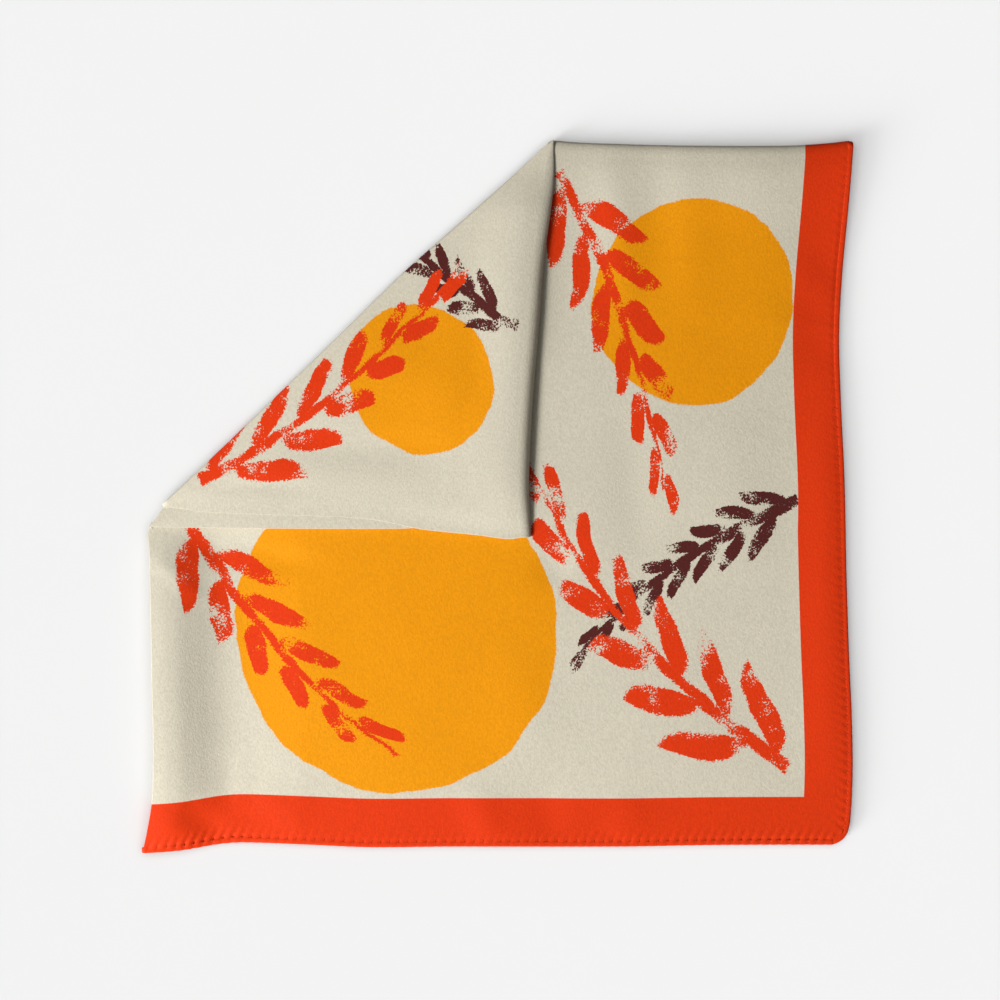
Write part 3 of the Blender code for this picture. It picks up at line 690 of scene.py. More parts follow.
def hem(sheet, edge, points, half_size, heights, pinch=0.0, wrap=None):
    """A rolled hem inside an edge's points. half_size is half its width and height, and pinch how much the
    stitches draw it in at each place. wrap is (base, tail) of the fold at its end, round which it is pressed
    flat."""
    half_width, half_height = half_size
    inward = -INTO[edge] * outward_of(points)
    inward /= np.hypot(*inward.T)[:, None]
    pinch = np.broadcast_to(pinch, len(points))
    path = np.column_stack((points + inward * half_width, heights - PINCH_SINK * pinch))
    across = np.column_stack((-inward, np.zeros(len(points))))
    up = np.tile(UP, (len(points), 1))
    widths = half_width * (1.0 - PINCH_NARROW * pinch)
    halves = half_height * (1.0 - PINCH_THIN * pinch)
    if wrap is not None:
        path, across, up = wrapped(path, across, up, WRAP_WAYS[edge], *wrap)
        share = np.clip(np.linspace(0.0, 2.0, len(path) - len(points)), 0.0, 1.0)
        widths = np.concatenate((widths, mix(half_width, HIDDEN_HEM_HALF[0], share)))
        halves = np.concatenate((halves, mix(half_height, HIDDEN_HEM_HALF[1], share)))
    ends = np.minimum(np.arange(len(path)), np.arange(len(path))[::-1]) / END_STEPS
    taper = mix(END_SHARE, 1.0, np.clip(ends, 0.0, 1.0) ** 0.5)
    sheet.tube(path, across, up, widths * taper, halves * taper, HEM_FLATS[edge])


def hem_ends():
    """Where the bottom hem meets the left fold, and the right hem the top fold."""
    return float(read(LEFT_EDGE, BOTTOM_HEM_Y)), float(read(TOP_EDGE, RIGHT_HEM_X))


def edge_points(edge, start, end):
    """Points along a hemmed edge, from one place along it to another."""
    share = np.linspace(0.0, 1.0, int(abs(end - start) / HEM_STEP)) ** HEM_EASE[edge]
    along = mix(start, end, share)
    points = np.stack((along, read(HEMMED[edge], along)), axis=1)
    return points if edge == BOTTOM else points[:, ::-1]


def front_hem(edge, end, base, sizes):
    """One of the front layer's two rolled hems, taken round the fold at its end down to a base height."""
    half_size = (sizes.hem_width / MM / 2, sizes.hem_height / MM / 2)
    points = edge_points(edge, HEM_STARTS[edge], end)
    along = points[:, edge]
    pinch = bump(stitch_beat(along, STITCH_LINE, sizes.stitch_pitch / MM), PINCH_LENGTH)
    middle = points.copy()
    middle[:, 1 - edge] += INTO[edge] * half_size[0]
    heights = front_form(*middle.T) + (HEM_PROUD - half_size[1])
    sheet = Sheet()
    hem(sheet, edge, points, half_size, heights, pinch * read(STITCH_DEPTHS[edge], along), (base, HEM_TAIL))
    return sheet


def stitch_places(start, end, inward, pitch):
    """Where along a hem the stitches are, so far inside its edge."""
    drift, length = STITCH_DRIFT
    numbers = np.arange(math.ceil(start / pitch), math.floor(end / pitch))
    along = numbers * pitch
    for _ in range(STITCH_ROUNDS):
        along = numbers * pitch - drift * np.sin(along / length) - STITCH_SLANT * inward
    return along


STITCHED = ((-222, 214), (-218, 222))  # first and last place along each hem
STITCH_PATH = (  # (inward, sink): how far inside the edge a stitch passes, and how deep in the cloth
    (4.9, 0.25), (4.3, 0.02), (3.7, 0.02), (3.1, 0.02), (2.6, 0.3),
)
STITCH_BED = 0.05  # how far a stitch sinks into the hem's roll
FLANK = 2.9  # how full the roll's flank is


def stitches(sizes, thread):
    """The stitches of both hems, each a short thread that slants from the cloth over the roll's flank."""
    pitch, radius = sizes.stitch_pitch / MM, sizes.thread / MM / 2
    half_width, half_height = sizes.hem_width / MM / 2, sizes.hem_height / MM / 2
    rows = []
    for inward, sink in STITCH_PATH:
        bottom, right = (stitch_places(*ends, inward, pitch) for ends in STITCHED)
        x = np.concatenate((bottom, read(RIGHT_EDGE, right) - inward))
        y = np.concatenate((read(BOTTOM_EDGE, bottom) + inward, right))
        z = front_top(x, y, pitch)
        flank = 1.0 - (abs(inward - half_width) / half_width) ** FLANK
        if flank > 0:
            fall = half_height * (1.0 - flank ** (HEM_ROUND / 2))
            z = np.maximum(z, front_form(x, y) + HEM_PROUD - fall - STITCH_BED)
        rows.append(np.stack((x, y, z + radius * 0.5 - sink), axis=1))
    sheet = Sheet()
    for path in np.array(rows).transpose(1, 0, 2):
        side = np.cross(path[-1] - path[0], UP)
        across = np.tile(side / np.linalg.norm(side), (len(path), 1))
        up = np.tile(UP, (len(path), 1))
        size = np.full(len(path), radius)
        sheet.tube(path, across, up, size, size, HEM_FLATS[BOTTOM], THREAD_SIDES)
    return sheet.build("hem_stitches", thread)


class SCARF_OT_front(bpy.types.Operator):
    """Make the front layer, which shows as an L and rolls over the left and the top fold, with its hems"""

    bl_idname = "scarf.front"
    bl_label = "Front layer and hems"

    def execute(self, context):
        scene = context.scene
        sizes, silk = scene.scarf_sizes, printed_silk(scene)
        sheet = front_sheet(sizes.stitch_pitch / MM)
        front = sheet.lay(scene, "front_cloth", "front_panel")
        left, top = hem_ends()
        bottom = front_hem(BOTTOM, left + LEFT_REACH + LEFT_HEM_TURN, HIDDEN_HEM_MIDDLES[2], sizes)
        bottom = bottom.build("hem_bottom_roll", silk)
        right = front_hem(RIGHT, top - TOP_HEM_TURN, HIDDEN_HEM_MIDDLES[0], sizes)
        right = right.build("hem_right_roll", silk)
        threads = stitches(sizes, hem_thread(scene))
        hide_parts("hem_bottom")
        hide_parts("hem_right")
        sheet.declare(front, ["hidden_layer_3"], [bottom, right, threads])
        return {"FINISHED"}


# ---------------------------------------------------------------- turned corner

CORNER_ACROSS, CORNER_UP = 92, 84
CORNER_DENSE = 0.55  # 0 spaces its strips evenly, and more draws them together at the start


def dense_start(n):
    """n + 1 shares from 0 to 1, closer together at the start."""
    t = np.linspace(0.0, 1.0, n + 1)
    return mix(t, 1.0 - np.sin(0.5 * math.pi * (1.0 - t)), CORNER_DENSE)


def corner_plan():
    """Places on the turned corner's flat part: columns from its right edge to its left end, each from its
    lower edge up to its slanting fold."""
    tip_y = CORNER_LOWER[-1][1] + LOWER_REACH
    tip_x = read(CORNER_RIGHT, tip_y) - read(CORNER_RIGHT_REACH, tip_y)
    across, up = dense_start(CORNER_ACROSS), np.insert(dense_start(CORNER_UP), 1, CRISP)
    lower_x = mix(tip_x, CORNER_LEFT_X, across)
    lower = np.stack((lower_x, read(CORNER_LOWER, lower_x) + LOWER_REACH), axis=1)
    fold_x = mix(CORNER_APEX_X, CORNER_FOLD[0][0], across)
    fold = np.stack((fold_x, read(CORNER_FOLD, fold_x)), axis=1)
    fold = fold + outward_of(fold) * read(SLANT_REACH, fold[:, :1])
    t = up[None, :]
    x = mix(lower[:, :1], fold[:, :1], t)
    y = mix(lower[:, 1:], fold[:, 1:], t)
    bow = read(CORNER_RIGHT, y) - read(CORNER_RIGHT_REACH, y) - mix(lower[0, 0], fold[0, 0], t)
    return x + bow * (1 - across[:, None]) ** 2, y


def turned_sheet():
    """The corner turned down over the front, rolled over at all its edges."""
    x, y = corner_plan()
    sheet = Sheet(CORNER_TURN)
    grid = sheet.spread(x, y, corner_top(x, y), corner_flat_place(x, y))
    places = sheet.points
    parts = lower, end, fold, right = grid[:, 0], grid[-1, 1:-1], grid[::-1, -1], grid[0, -2:0:-1]
    loop = np.concatenate(parts)
    end_share = np.insert(dense_start(CORNER_UP)[1:-1], 0, CRISP)

    lower_bases = read(CORNER_LOWER_BASE, places[lower, 0])
    end_bases = mix(lower_bases[-1], FLOOR_GAP, end_share)
    fold_bases = read(CORNER_FOLD_BASE, places[fold, 0])
    right_bases = front_form(places[right, 0], places[right, 1]) + FOLD_GAP
    bases = np.concatenate((lower_bases, end_bases, fold_bases, right_bases))

    fold_reach = read(SLANT_REACH, places[fold, 0])
    end_reach = mix(LOWER_REACH, fold_reach[0], end_share)
    sizes = np.concatenate((np.full(len(lower), LOWER_REACH), end_reach, fold_reach))
    reaches = np.zeros((len(loop), 2))
    reaches[:len(sizes)] = outward_of(places[loop], closed=True)[:len(sizes)] * sizes[:, None]
    reaches[len(sizes):, 0] = read(CORNER_RIGHT_REACH, places[right, 1])
    reaches[0] = (TIP_REACH * read(CORNER_RIGHT_REACH, places[lower[0], 1]), -LOWER_REACH)

    rolls = np.concatenate([np.tile(shape, (len(part), 1)) for part, shape in zip(parts, CORNER_ROLLS)])
    rolls[0] = TIP_ROLL
    belly, under = rolls.T
    under = np.minimum(under, np.hypot(*reaches.T) + CORNER_ROOM)
    sheet.roll(loop, reaches, bases, belly, under, closed=True)
    return sheet


class SCARF_OT_turned_corner(bpy.types.Operator):
    """Make the corner that is turned down over the front"""

    bl_idname = "scarf.turned_corner"
    bl_label = "Turned corner"

    def execute(self, context):
        sheet = turned_sheet()
        made = sheet.lay(context.scene, "turned_cloth", "turned_corner")
        sheet.declare(made, ["front_cloth", "inner_fold_cloth"])
        return {"FINISHED"}


# ---------------------------------------------------------------- inner fold

INNER_ALONG, INNER_ACROSS = 120, 12
INNER_CRISP = 10 * CRISP
INNER_CLOSED = (-19.6, -17.0)  # y between which its left end starts to come down to the surface
INNER_CLOSED_X = INNER_FOLD_LEFT[-1][1] + 1.0  # right of it nothing comes down that far


def inner_fold_sheet():
    """The turned corner's second fold, which shows as a strip below its lower edge."""
    along = np.linspace(0.0, 1.0, INNER_ALONG + 1)[None, :]
    across = np.insert(np.linspace(0.0, 1.0, INNER_ACROSS + 1), 1, INNER_CRISP)[:, None]
    x = mix(read(INNER_FOLD_LEFT, across), INNER_FOLD_RIGHT_X, along)
    y = mix(read(INNER_FOLD_EDGE, x) + INNER_REACH, read(INNER_FOLD_END, x), across)
    z = read(INNER_FOLD_TOP, x) - read(INNER_FOLD_FALL, x) * across ** 2 + INNER_SLACK * slack(x, y)
    flat = np.stack((read(INNER_FOLD_EDGE, x) - y, x - CORNER_RIGHT[0][1]), axis=-1)
    sheet = Sheet(INNER_TURN)
    grid = sheet.spread(x, y, z, flat)
    chain = np.concatenate((grid[0][::-1], grid[1:, 0]))
    places = sheet.points[chain]
    at_end = fade(*INNER_CLOSED, places[:, 1]) * (places[:, 0] < INNER_CLOSED_X)
    bases = mix(front_form(*places[:, :2].T) + FOLD_GAP, FLOOR_GAP, at_end)
    sheet.roll(chain, outward_of(places) * INNER_REACH, bases, **INNER_ROLL)
    return sheet


class SCARF_OT_inner_fold(bpy.types.Operator):
    """Make the strip that shows below the turned corner's lower edge"""

    bl_idname = "scarf.inner_fold"
    bl_label = "Inner fold"

    def execute(self, context):
        sheet = inner_fold_sheet()
        made = sheet.lay(context.scene, "inner_fold_cloth", "inner_fold")
        sheet.declare(made, ["front_cloth"])
        return {"FINISHED"}


# ---------------------------------------------------------------- hidden layers

LAYER_STRIPS = 90
LAYER_ROUNDS = 8
LAYER_LEFT_INSETS = (9.0, 2.2, 9.0)  # where each hidden layer starts, inside the left edge
LAYER_TOP_INSETS = (7.0, 6.5, 4.2)  # and where it ends below the top edge
LAYER_SLANT_INSET = 5.0  # and inside the slanting fold
LOWER_FOLD_RISE = 0.75  # how far the fold between the two lowest layers stands up, at the left
LOWER_FOLD_INSETS = (2.0, 14.0)  # inside the left edge, where its rise starts to fade and where it is gone
LOWER_FOLD_END = (-30.0, -8.0)  # the same by y, towards the left tip
UPPER_FOLD_LIP = 0.4  # how far the fold between the two upper ones comes down below the middle layer's top
WANDER = ((0.55, 31.0, 2.1), (0.3, 12.0, 1.3))  # (size, length, shift from layer to layer) of two waves
HEM_WAVE, HEM_WAVE_LENGTH = 0.06, 9.0  # how much a pressed hem rises and falls, and over what length


def layer_inset(edge, level, along):
    """How far a hidden hem lies inside the front's, which wanders along it."""
    wander = sum(size * np.sin(along / length + shift * level) for size, length, shift in WANDER)
    return HIDDEN_HEM_INSETS[edge][level] + wander


def hidden_sheet(level):
    """One of the layers below the front, with the corner folded away. The lowest two meet in a fold at the
    left, and the upper two in a fold at the top."""
    s, t = np.meshgrid(*[np.linspace(0, 1, LAYER_STRIPS + 1)] * 2)
    hem_middle = HIDDEN_HEM_HALF[0]
    x = np.zeros_like(s)
    y = mix(-SIDE / 2, SIDE / 2, t)
    for _ in range(LAYER_ROUNDS):
        square = read(LEFT_EDGE, y) + LAYER_LEFT_INSETS[level]
        slanting = np.where(y > HIDDEN_TIP[-1][0], read(FOLD_X, y) + LAYER_SLANT_INSET, read(HIDDEN_TIP, y))
        right = read(RIGHT_EDGE, y) - layer_inset(RIGHT, level, y) - hem_middle
        x = mix(np.maximum(square, slanting), right, s)
        bottom = read(BOTTOM_EDGE, x) + layer_inset(BOTTOM, level, x) + hem_middle
        y = mix(bottom, read(TOP_EDGE, x) - LAYER_TOP_INSETS[level], t)
    rise = np.zeros_like(x)
    if level == 1:
        rise = LOWER_FOLD_RISE * (1.0 - fade(*LOWER_FOLD_INSETS, x - read(LEFT_EDGE, y)))
        rise *= 1.0 - fade(*LOWER_FOLD_END, y)
    sheet = Sheet()
    grid = sheet.spread(x, y, LAYER_TOPS[level] + rise, front_flat_place(x, y))
    if level == 1:
        chain = [i for i in grid[:, 0] if sheet.points[i, 1] < HIDDEN_TIP[1][0]]
        sheet.roll(chain, (-HIDDEN_LEFT_REACH, 0.0), FLOOR_GAP, **HIDDEN_LEFT_ROLL)
    if level == 2:
        chain = [i for i in grid[-1] if sheet.points[i, 0] > CORNER_RIGHT[-1][1]]
        sheet.roll(chain, (0.0, HIDDEN_TOP_REACH), LAYER_TOPS[1] - UPPER_FOLD_LIP, **HIDDEN_TOP_ROLL)
    return sheet


def hidden_hems(silk):
    """The hidden layers' rolled hems, pressed flat below the front's. The middle one of the bottom hems and
    the upper one of the right hems turn round the folds at their ends."""
    sheet = Sheet()
    left, top = hem_ends()
    for level, middle in enumerate(HIDDEN_HEM_MIDDLES):
        ends = (left + HIDDEN_HEM_ENDS[BOTTOM][level], top - HIDDEN_HEM_ENDS[RIGHT][level])
        for edge, end in enumerate(ends):
            points = edge_points(edge, HIDDEN_STARTS[edge], end)
            along = points[:, edge]
            points[:, 1 - edge] += INTO[edge] * layer_inset(edge, level, along)
            heights = middle + HEM_WAVE * np.sin(along / HEM_WAVE_LENGTH + level)
            wrap = (HIDDEN_HEM_MIDDLES[level - 1], HIDDEN_TAIL) if level == edge + 1 else None
            hem(sheet, edge, points, HIDDEN_HEM_HALF, heights, wrap=wrap)
    return sheet.build("hidden_hems", silk)


class SCARF_OT_hidden_layers(bpy.types.Operator):
    """Make the layers below the front, of which only the edges show"""

    bl_idname = "scarf.hidden_layers"
    bl_label = "Hidden layers"

    def execute(self, context):
        scene = context.scene
        hems = hidden_hems(printed_silk(scene))
        for level in range(len(LAYER_TOPS)):
            sheet = hidden_sheet(level)
            made = sheet.lay(scene, f"hidden_layer_{level + 1}", "hidden_layers")
            below = [f"hidden_layer_{level}"] if level else ["floor"]
            sheet.declare(made, below, [hems] if level == 2 else [])
        return {"FINISHED"}


# ---------------------------------------------------------------- node graphs

class Value:
    """What a node puts out. Its sums with numbers and other values add nodes to the graph."""

    def __init__(self, graph, socket):
        self.graph = graph
        self.socket = socket

    def __add__(self, other):
        return self.graph.math("ADD", self, other)

    def __sub__(self, other):
        return self.graph.math("SUBTRACT", self, other)

    def __rsub__(self, other):
        return self.graph.math("SUBTRACT", other, self)

    def __mul__(self, other):
        return self.graph.math("MULTIPLY", self, other)

    def __truediv__(self, other):
        return self.graph.math("DIVIDE", self, other)

    def __abs__(self):
        return self.graph.math("ABSOLUTE", self)


class Graph:
    """Adds nodes to a node tree. An input is a number, a colour, a vector or a value."""

    def __init__(self, tree):
        self.tree = tree

    def give(self, node, inputs):
        """Sets a node's inputs, and links the ones that are values."""
        for key, given in inputs.items():
            if isinstance(given, Value):
                self.tree.links.new(given.socket, node.inputs[key])
            else:
                node.inputs[key].default_value = given

    def node(self, kind, inputs=(), **settings):
        made = self.tree.nodes.new(kind)
        for name, setting in settings.items():
            setattr(made, name, setting)
        self.give(made, dict(inputs))
        return made

    def value(self, kind, inputs=(), output=0, **settings):
        """Adds a node and gives one of its outputs."""
        return Value(self, self.node(kind, inputs, **settings).outputs[output])

    def values(self, kind, inputs=(), **settings):
        """Adds a node and gives all its outputs, by name."""
        outputs = self.node(kind, inputs, **settings).outputs
        return {socket.name: Value(self, socket) for socket in outputs}

    def math(self, operation, first, *others):
        """A sum of one or two values, or of more of them in turn."""
        for other in others or (0.0,):
            first = self.value("ShaderNodeMath", {0: first, 1: other}, operation=operation)
        return first

    def vector(self, operation, a, b=(0.0, 0.0, 0.0), output=0):
        return self.value("ShaderNodeVectorMath", {0: a, 1: b}, output, operation=operation)

    def scaled(self, vector, by):
        return self.value("ShaderNodeVectorMath", {0: vector, 3: by}, operation="SCALE")

    def noise(self, place, scale, detail=2.0, roughness=0.5, output=0):
        inputs = {"Vector": place, "Scale": scale, "Detail": detail, "Roughness": roughness}
        return self.value("ShaderNodeTexNoise", inputs, output)

    def ramp(self, value, low, high, to_low=0.0, to_high=1.0):
        inputs = {0: value, 1: low, 2: high, 3: to_low, 4: to_high}
        return self.value("ShaderNodeMapRange", inputs, interpolation_type="SMOOTHSTEP")

    def blend(self, share, a, b):
        return self.value("ShaderNodeMix", {0: share, 6: a, 7: b}, 2, data_type="RGBA")


# ---------------------------------------------------------------- print

SPRIG_INPUTS = ("Angle", "Bend", "Length", "Leaf", "Width", "Spacing", "Stem")
LEAF_LEAN = math.radians(40.0)  # between the leaf and its stem
RED_SPRIGS = (  # (u, v) of the root and the inputs, angles in degrees, repeated in every quarter
    (402, 396, 214, 0.0012, 250, 66, 9.6, 41, 5.2),
    (262, 26, 56, 0.0013, 200, 56, 8.6, 36, 4.6),
    (24, 205, 298, 0.0015, 205, 52, 8.2, 34, 4.4),
    (30, 250, 62, -0.0013, 185, 54, 8.4, 35, 4.6),
)
BROWN_SPRIGS = (
    (412, 232, 158, -0.0014, 170, 34, 5.2, 21, 4.0),
    (140, 20, 66, -0.0018, 150, 30, 4.8, 19, 3.6),
)
AMBER_DISCS = ((158, 312, 104), (352, 100, 66), (96, 74, 48))  # (u, v, radius)
RED_DEPTH, BROWN_DEPTH = 2.6, 1.6  # how far inside its edge a stroke is at its densest
WAVER = 9.0  # how far the drawing strays from its plan
GRIT = 3.0  # how much the cloth's grain breaks up the drawing's edges
PRESSURE, UNEVEN = 0.98, 3.6  # mean pressure on the chalk, and how much it changes
CORE_REACH, SPECK_REACH = 1.0, 2.5  # how far outside its edge a stroke's core and its specks start
TOOTH = (0.42, 0.54)  # pressures at which the cloth starts to take the chalk, and takes it whole
WAVER_SCALE, GRIT_SCALE, PATCH_SCALE = 0.03, 0.75, 0.055  # of the drawing's noises, per millimetre
DISC_BLUR, BORDER_BLUR = 0.4, 0.25  # half the width over which their edges fade


def sprig_group():
    """Node group: how far inside a leaf sprig a place is, in millimetres. The stem bends, and leaves grow
    from it in turn on both sides, shorter towards its end."""
    group = bpy.data.node_groups.new("leaf sprig", "ShaderNodeTree")
    for name in ("Place", "Root"):
        group.interface.new_socket(name, in_out="INPUT", socket_type="NodeSocketVector")
    for name in SPRIG_INPUTS:
        group.interface.new_socket(name, in_out="INPUT", socket_type="NodeSocketFloat")
    group.interface.new_socket("Inside", in_out="OUTPUT", socket_type="NodeSocketFloat")
    graph = Graph(group)
    given = graph.values("NodeGroupInput")
    spacing, length = given["Spacing"], given["Length"]
    turn = {"Vector": graph.vector("SUBTRACT", given["Place"], given["Root"]), "Angle": given["Angle"] * -1.0}
    turned = graph.value("ShaderNodeVectorRotate", turn, rotation_type="Z_AXIS")
    turned = graph.values("ShaderNodeSeparateXYZ", {0: turned})
    along = turned["X"]
    across = turned["Y"] - given["Bend"] * (along * along)
    off = abs(across)

    # The leaf's root on the stem, with the leaves of the other side half a spacing on
    shift = graph.math("GREATER_THAN", across, 0.0) * (spacing * 0.5)
    base = along - off * (1.0 / math.tan(LEAF_LEAN)) + shift
    beat = graph.math("FRACT", base / spacing) - 0.5
    root = base - beat * spacing

    # Leaves shorter towards the stem's end, widest in the middle
    leaf = given["Leaf"] * (1.05 - root / length * 0.75)
    far = off / math.sin(LEAF_LEAN) / leaf
    swell = far * (1.0 - far) * 4.0
    blade = swell * given["Width"] - abs(beat) * (spacing * math.sin(LEAF_LEAN))
    blade = graph.math("MINIMUM", blade, root, length - root)

    # The stem, thinner towards its end
    stem = given["Stem"] * (1.0 - along / length * 0.6) - off
    stem = graph.math("MINIMUM", stem, along + 8.0, length - along)
    graph.node("NodeGroupOutput", {"Inside": graph.math("MAXIMUM", blade, stem)})
    return group


def sprigs(graph, group, place, table):
    """How far inside any of the sprigs a place is."""
    found = []
    for u, v, angle, *sizes in table:
        inputs = dict(zip(SPRIG_INPUTS, (math.radians(angle), *sizes)))
        inputs.update(Place=place, Root=(u, v, 0.0))
        found.append(graph.value("ShaderNodeGroup", inputs, node_tree=group))
    return graph.math("MAXIMUM", *found)


def chalked(graph, inside, depth, grit, patches):
    """Share of a dry chalk stroke's colour: dense at its core where it was pressed, and broken into specks at
    its edges and where it was light. grit and patches are noise about 0."""
    core = graph.ramp(inside, -CORE_REACH, depth)
    specks = grit * GRIT * graph.ramp(inside, -SPECK_REACH, 0.0)
    return graph.ramp(core * (patches * UNEVEN + PRESSURE) + specks, *TOOTH)


def print_colour(graph, scene):
    """The print: amber, red and brown chalk drawing on cream, alike in every quarter, in a plain border."""
    ground, amber, red, brown = (
        (*getattr(scene.scarf_colours, name), 1.0) for name in ("ground", "amber", "red", "brown")
    )
    cloth = graph.value("ShaderNodeUVMap", uv_map="cloth")
    place = graph.vector("MULTIPLY", cloth, (1 / MM, 1 / MM, 0.0))
    quarter = graph.vector("ABSOLUTE", place)
    waver = graph.vector("SUBTRACT", graph.noise(quarter, WAVER_SCALE, output=1), (0.5, 0.5, 0.5))
    drawn = graph.vector("ADD", quarter, graph.scaled(waver, WAVER))
    grit = graph.noise(place, GRIT_SCALE, 3.0, 0.65) - 0.5
    patches = graph.noise(place, PATCH_SCALE) - 0.5

    discs = [
        radius - graph.vector("DISTANCE", drawn, (u, v, 0.0), output=1) for u, v, radius in AMBER_DISCS
    ]
    amber_share = graph.ramp(graph.math("MAXIMUM", *discs) + grit * GRIT, -DISC_BLUR, DISC_BLUR)
    group = sprig_group()
    brown_share = chalked(graph, sprigs(graph, group, drawn, BROWN_SPRIGS), BROWN_DEPTH, grit, patches)
    red_share = chalked(graph, sprigs(graph, group, drawn, RED_SPRIGS), RED_DEPTH, grit, patches)
    out = graph.values("ShaderNodeSeparateXYZ", {0: quarter})
    outmost = graph.math("MAXIMUM", out["X"], out["Y"])
    edge = SIDE - scene.scarf_sizes.border / MM
    border_share = graph.ramp(outmost, edge - BORDER_BLUR, edge + BORDER_BLUR)

    printed = graph.blend(amber_share, ground, amber)
    printed = graph.blend(brown_share, printed, brown)
    printed = graph.blend(red_share, printed, red)
    return graph.blend(border_share, printed, red)


# ---------------------------------------------------------------- materials

SILK = "printed silk"
GRAIN_PLACES = (1000.0, 700.0, 1000.0)  # longer along Y
GRAIN_PAINTED_SHADES, GRAIN_ROUGHNESS = (0.90, 1.08), (0.60, 0.48)  # in the grain's hollows, and on its ridges; the tones are painted shade in the hollows and painted light on the ridges
CLOUD = 0.02  # how much the cloudiness changes the tone


def new_material(name):
    """A material, its graph and its shader."""
    material = bpy.data.materials.new(name)
    material.use_nodes = True
    return material, Graph(material.node_tree), material.node_tree.nodes["Principled BSDF"]


def printed_silk(scene):
    """The printed silk of the whole scarf: fine crepe with a grain that runs along Y, a little cloudiness and
    a soft sheen. The grain's colour is painted shade and light, darker in its hollows and lighter on its
    ridges."""
    if SILK in bpy.data.materials:
        return bpy.data.materials[SILK]
    material, graph, shader = new_material(SILK)
    body = graph.value("ShaderNodeTexCoord", output="Object")
    grain = graph.noise(graph.vector("MULTIPLY", body, GRAIN_PLACES), 0.8, 3.0, 0.65)
    cloud = graph.noise(body, 14.0, 3.0, 0.55)
    # Painted shade: the grain's hollows are coloured darker and its ridges lighter, following its bump; the
    # cloudiness is the silk's own random tone
    shade_and_cloud_tone = graph.ramp(grain, 0.25, 0.75, *GRAIN_PAINTED_SHADES) + graph.ramp(cloud, 0.2, 0.8, -CLOUD, CLOUD)
    graph.give(shader, {
        "Base Color": graph.scaled(print_colour(graph, scene), shade_and_cloud_tone),
        "Roughness": graph.ramp(grain, 0.2, 0.8, *GRAIN_ROUGHNESS),
        "Normal": graph.value("ShaderNodeBump", {"Strength": 0.6, "Distance": 0.0003, "Height": grain}),
        "Specular IOR Level": 0.08,
        "Sheen Weight": 0.03,
        "Sheen Roughness": 0.4,
    })
    return material


def hem_thread(scene):
    """Twisted silk thread of the hem's stitches, coloured darker in the twist's grooves as a painted shade.
    """
    material, graph, shader = new_material("hem thread")
    wave = {"Vector": graph.value("ShaderNodeTexCoord", output="Object"), "Scale": 900.0, "Distortion": 1.0}
    twist = graph.value("ShaderNodeTexWave", wave, 1)
    colour = (*scene.scarf_colours.thread, 1.0)
    # Painted shade: the twist's grooves, low in the bump, are coloured darker
    twist_groove_shade = (*(0.7 * value for value in scene.scarf_colours.thread), 1.0)
    graph.give(shader, {
        "Base Color": graph.blend(twist, twist_groove_shade, colour),
        "Roughness": graph.ramp(twist, 0.0, 1.0, 0.6, 0.45),
        "Normal": graph.value("ShaderNodeBump", {"Strength": 0.5, "Distance": 0.0001, "Height": twist}),
        "Specular IOR Level": 0.2,
    })
    return material


def floor_material(scene):
    """Matt, very slightly mottled floor."""
    material, graph, shader = new_material("pale floor")
    mottle = graph.noise(graph.value("ShaderNodeTexCoord", output="Object"), 6.0, 3.0, 0.5)
    shade = graph.ramp(mottle, 0.2, 0.8, 0.997, 1.003)
    graph.give(shader, {
        "Base Color": graph.scaled(tuple(scene.scarf_colours.floor), shade),
        "Roughness": 0.9,
        "Specular IOR Level": 0.0,
    })
    return material


# ---------------------------------------------------------------- stage

FLOOR_HALF = 4.0
KEY_LIGHT = ("key", 225.0, 20.0, 38.0, 2.76)  # (name, way in plan, rise, angle, power)
FLOOR_LIGHTS = (  # the same, for the floor alone, which keeps its shadows light
    ("floor light above", 0.0, 90.0, 95.0, 3.2),
    ("floor light beside", 214.0, 12.0, 20.0, 3.25),
)
SOFT_BOX_PLACE = (-1.5, -0.94, 1.1)  # at the left, for the silk alone
SOFT_BOX_SIZE = 0.6
SOFT_BOX_POWER = 83.0
SKY = 0.26
SKY_LEAN = 0.7  # how much brighter the side that the key light comes from is
CAMERA_PLACE = (0.0016, -0.0026, 1.8)
CAMERA_WIDTH = 0.648  # width that the camera takes in, at the surface


def lamp(scene, kind, name, place, power):
    """A light that shines from a place to the middle of the scarf."""
    data = bpy.data.lights.new(name, kind)
    data.energy = power
    made = bpy.data.objects.new(name, data)
    made.location = place
    made.rotation_euler = (-made.location.normalized()).to_track_quat("-Z", "Y").to_euler()
    made.visible_camera = False
    scene.collection.objects.link(made)
    return made


def sun(scene, name, way, rise, angle, power):
    """A soft sun, its way in plan, its rise and its angle in degrees."""
    way, rise = math.radians(way), math.radians(rise)
    place = (math.cos(rise) * math.cos(way), math.cos(rise) * math.sin(way), math.sin(rise))
    made = lamp(scene, "SUN", name, place, power)
    made.data.angle = math.radians(angle)
    return made


def studio_sky(scene):
    """White surroundings, a little brighter on the side that the key light comes from."""
    world = bpy.data.worlds.new("studio")
    world.use_nodes = True
    graph = Graph(world.node_tree)
    way = graph.value("ShaderNodeTexCoord", output="Generated")
    towards = math.radians(KEY_LIGHT[1])
    lean = graph.vector("DOT_PRODUCT", way, (math.cos(towards), math.sin(towards), 0.0), output=1)
    light = {"Color": (1.0, 1.0, 1.0, 1.0), "Strength": (lean * SKY_LEAN + 1.0) * SKY}
    graph.give(world.node_tree.nodes["Background"], light)
    scene.world = world


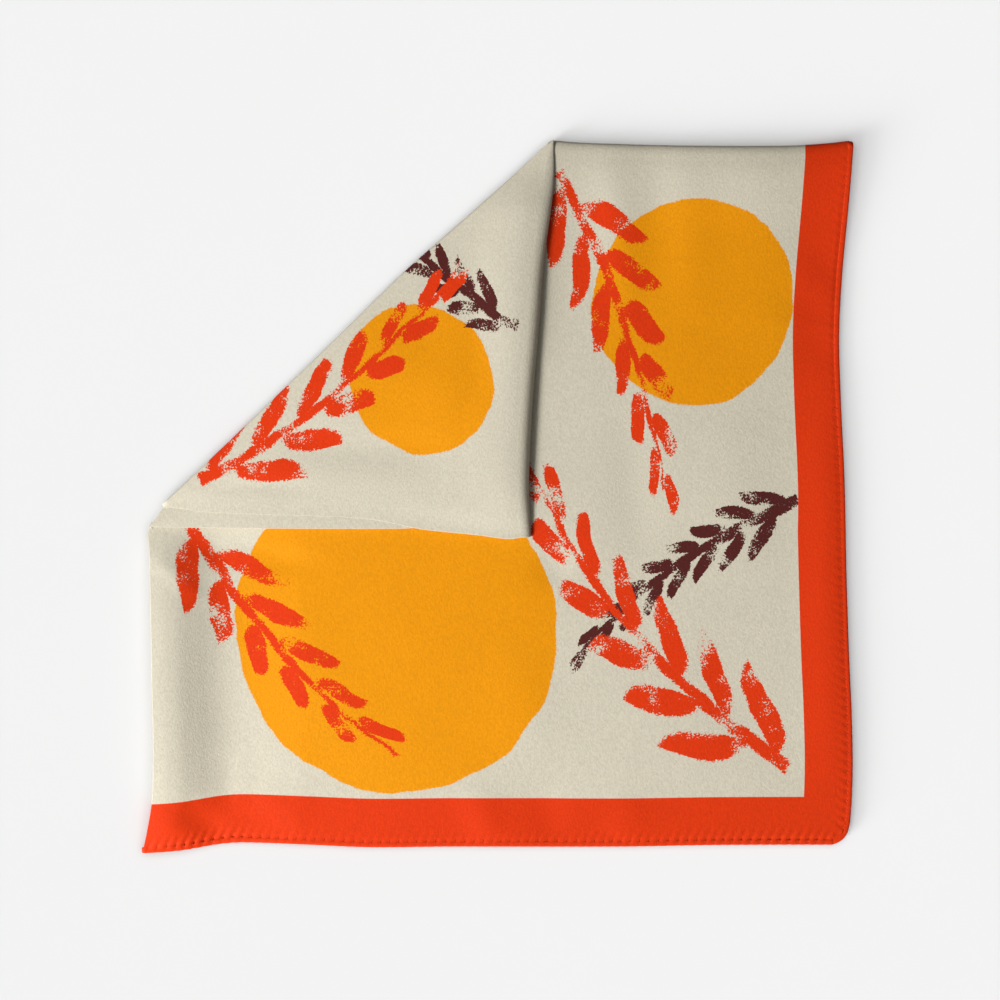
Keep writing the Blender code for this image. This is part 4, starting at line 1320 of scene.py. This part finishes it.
class SCARF_OT_stage(bpy.types.Operator):
    """Make the pale floor, the soft light and the camera straight above"""

    bl_idname = "scarf.stage"
    bl_label = "Stage"

    def execute(self, context):
        scene = context.scene
        mesh = bpy.data.meshes.new("floor")
        corners = [(sx * FLOOR_HALF, sy * FLOOR_HALF, 0.0) for sx, sy in ((-1, -1), (1, -1), (1, 1), (-1, 1))]
        mesh.from_pydata(corners, [], [(0, 1, 2, 3)])
        mesh.materials.append(floor_material(scene))
        floor = bpy.data.objects.new("floor", mesh)
        scene.collection.objects.link(floor)

        sun(scene, *KEY_LIGHT)
        box = lamp(scene, "AREA", "soft box", SOFT_BOX_PLACE, SOFT_BOX_POWER)
        box.data.shape = "DISK"
        box.data.size = SOFT_BOX_SIZE
        box.light_linking.receiver_collection = bpy.data.collections.new(SILK_PIECES)
        lit_floor = bpy.data.collections.new("lit floor")
        lit_floor.objects.link(floor)
        for row in FLOOR_LIGHTS:
            sun(scene, *row).light_linking.receiver_collection = lit_floor
        studio_sky(scene)
        scene.view_settings.view_transform = "Standard"

        lens = bpy.data.cameras.new("camera")
        lens.lens = lens.sensor_width * CAMERA_PLACE[2] / CAMERA_WIDTH
        lens.clip_start = 0.05
        camera = bpy.data.objects.new("camera", lens)
        camera.location = CAMERA_PLACE
        scene.collection.objects.link(camera)
        scene.camera = camera
        return {"FINISHED"}


# ---------------------------------------------------------------- panel and registration

class SCARF_PT_scarf(bpy.types.Panel):
    """Sizes, colours and pieces of the scarf"""

    bl_idname = "SCARF_PT_scarf"
    bl_label = "Silk square"
    bl_space_type = "VIEW_3D"
    bl_region_type = "UI"
    bl_category = "Scarf"

    def draw(self, context):
        layout = self.layout
        for group in (context.scene.scarf_sizes, context.scene.scarf_colours):
            box = layout.box()
            for name in group.__annotations__:
                box.prop(group, name)
        for operator in OPERATORS:
            layout.operator(operator.bl_idname)


GROUPS = {"scarf_sizes": ScarfSizes, "scarf_colours": ScarfColours}
OPERATORS = (
    SCARF_OT_stage, SCARF_OT_hidden_layers, SCARF_OT_front, SCARF_OT_inner_fold, SCARF_OT_turned_corner,
)


def register():
    for name, group in GROUPS.items():
        bpy.utils.register_class(group)
        setattr(bpy.types.Scene, name, bpy.props.PointerProperty(type=group))
    for kind in (*OPERATORS, SCARF_PT_scarf):
        bpy.utils.register_class(kind)


def unregister():
    for kind in reversed((*OPERATORS, SCARF_PT_scarf)):
        bpy.utils.unregister_class(kind)
    for name, group in GROUPS.items():
        delattr(bpy.types.Scene, name)
        bpy.utils.unregister_class(group)


def main():
    register()
    bpy.ops.scarf.stage()
    bpy.ops.scarf.hidden_layers()
    bpy.ops.scarf.front()
    bpy.ops.scarf.inner_fold()
    bpy.ops.scarf.turned_corner()


if __name__ == "__main__":
    main()
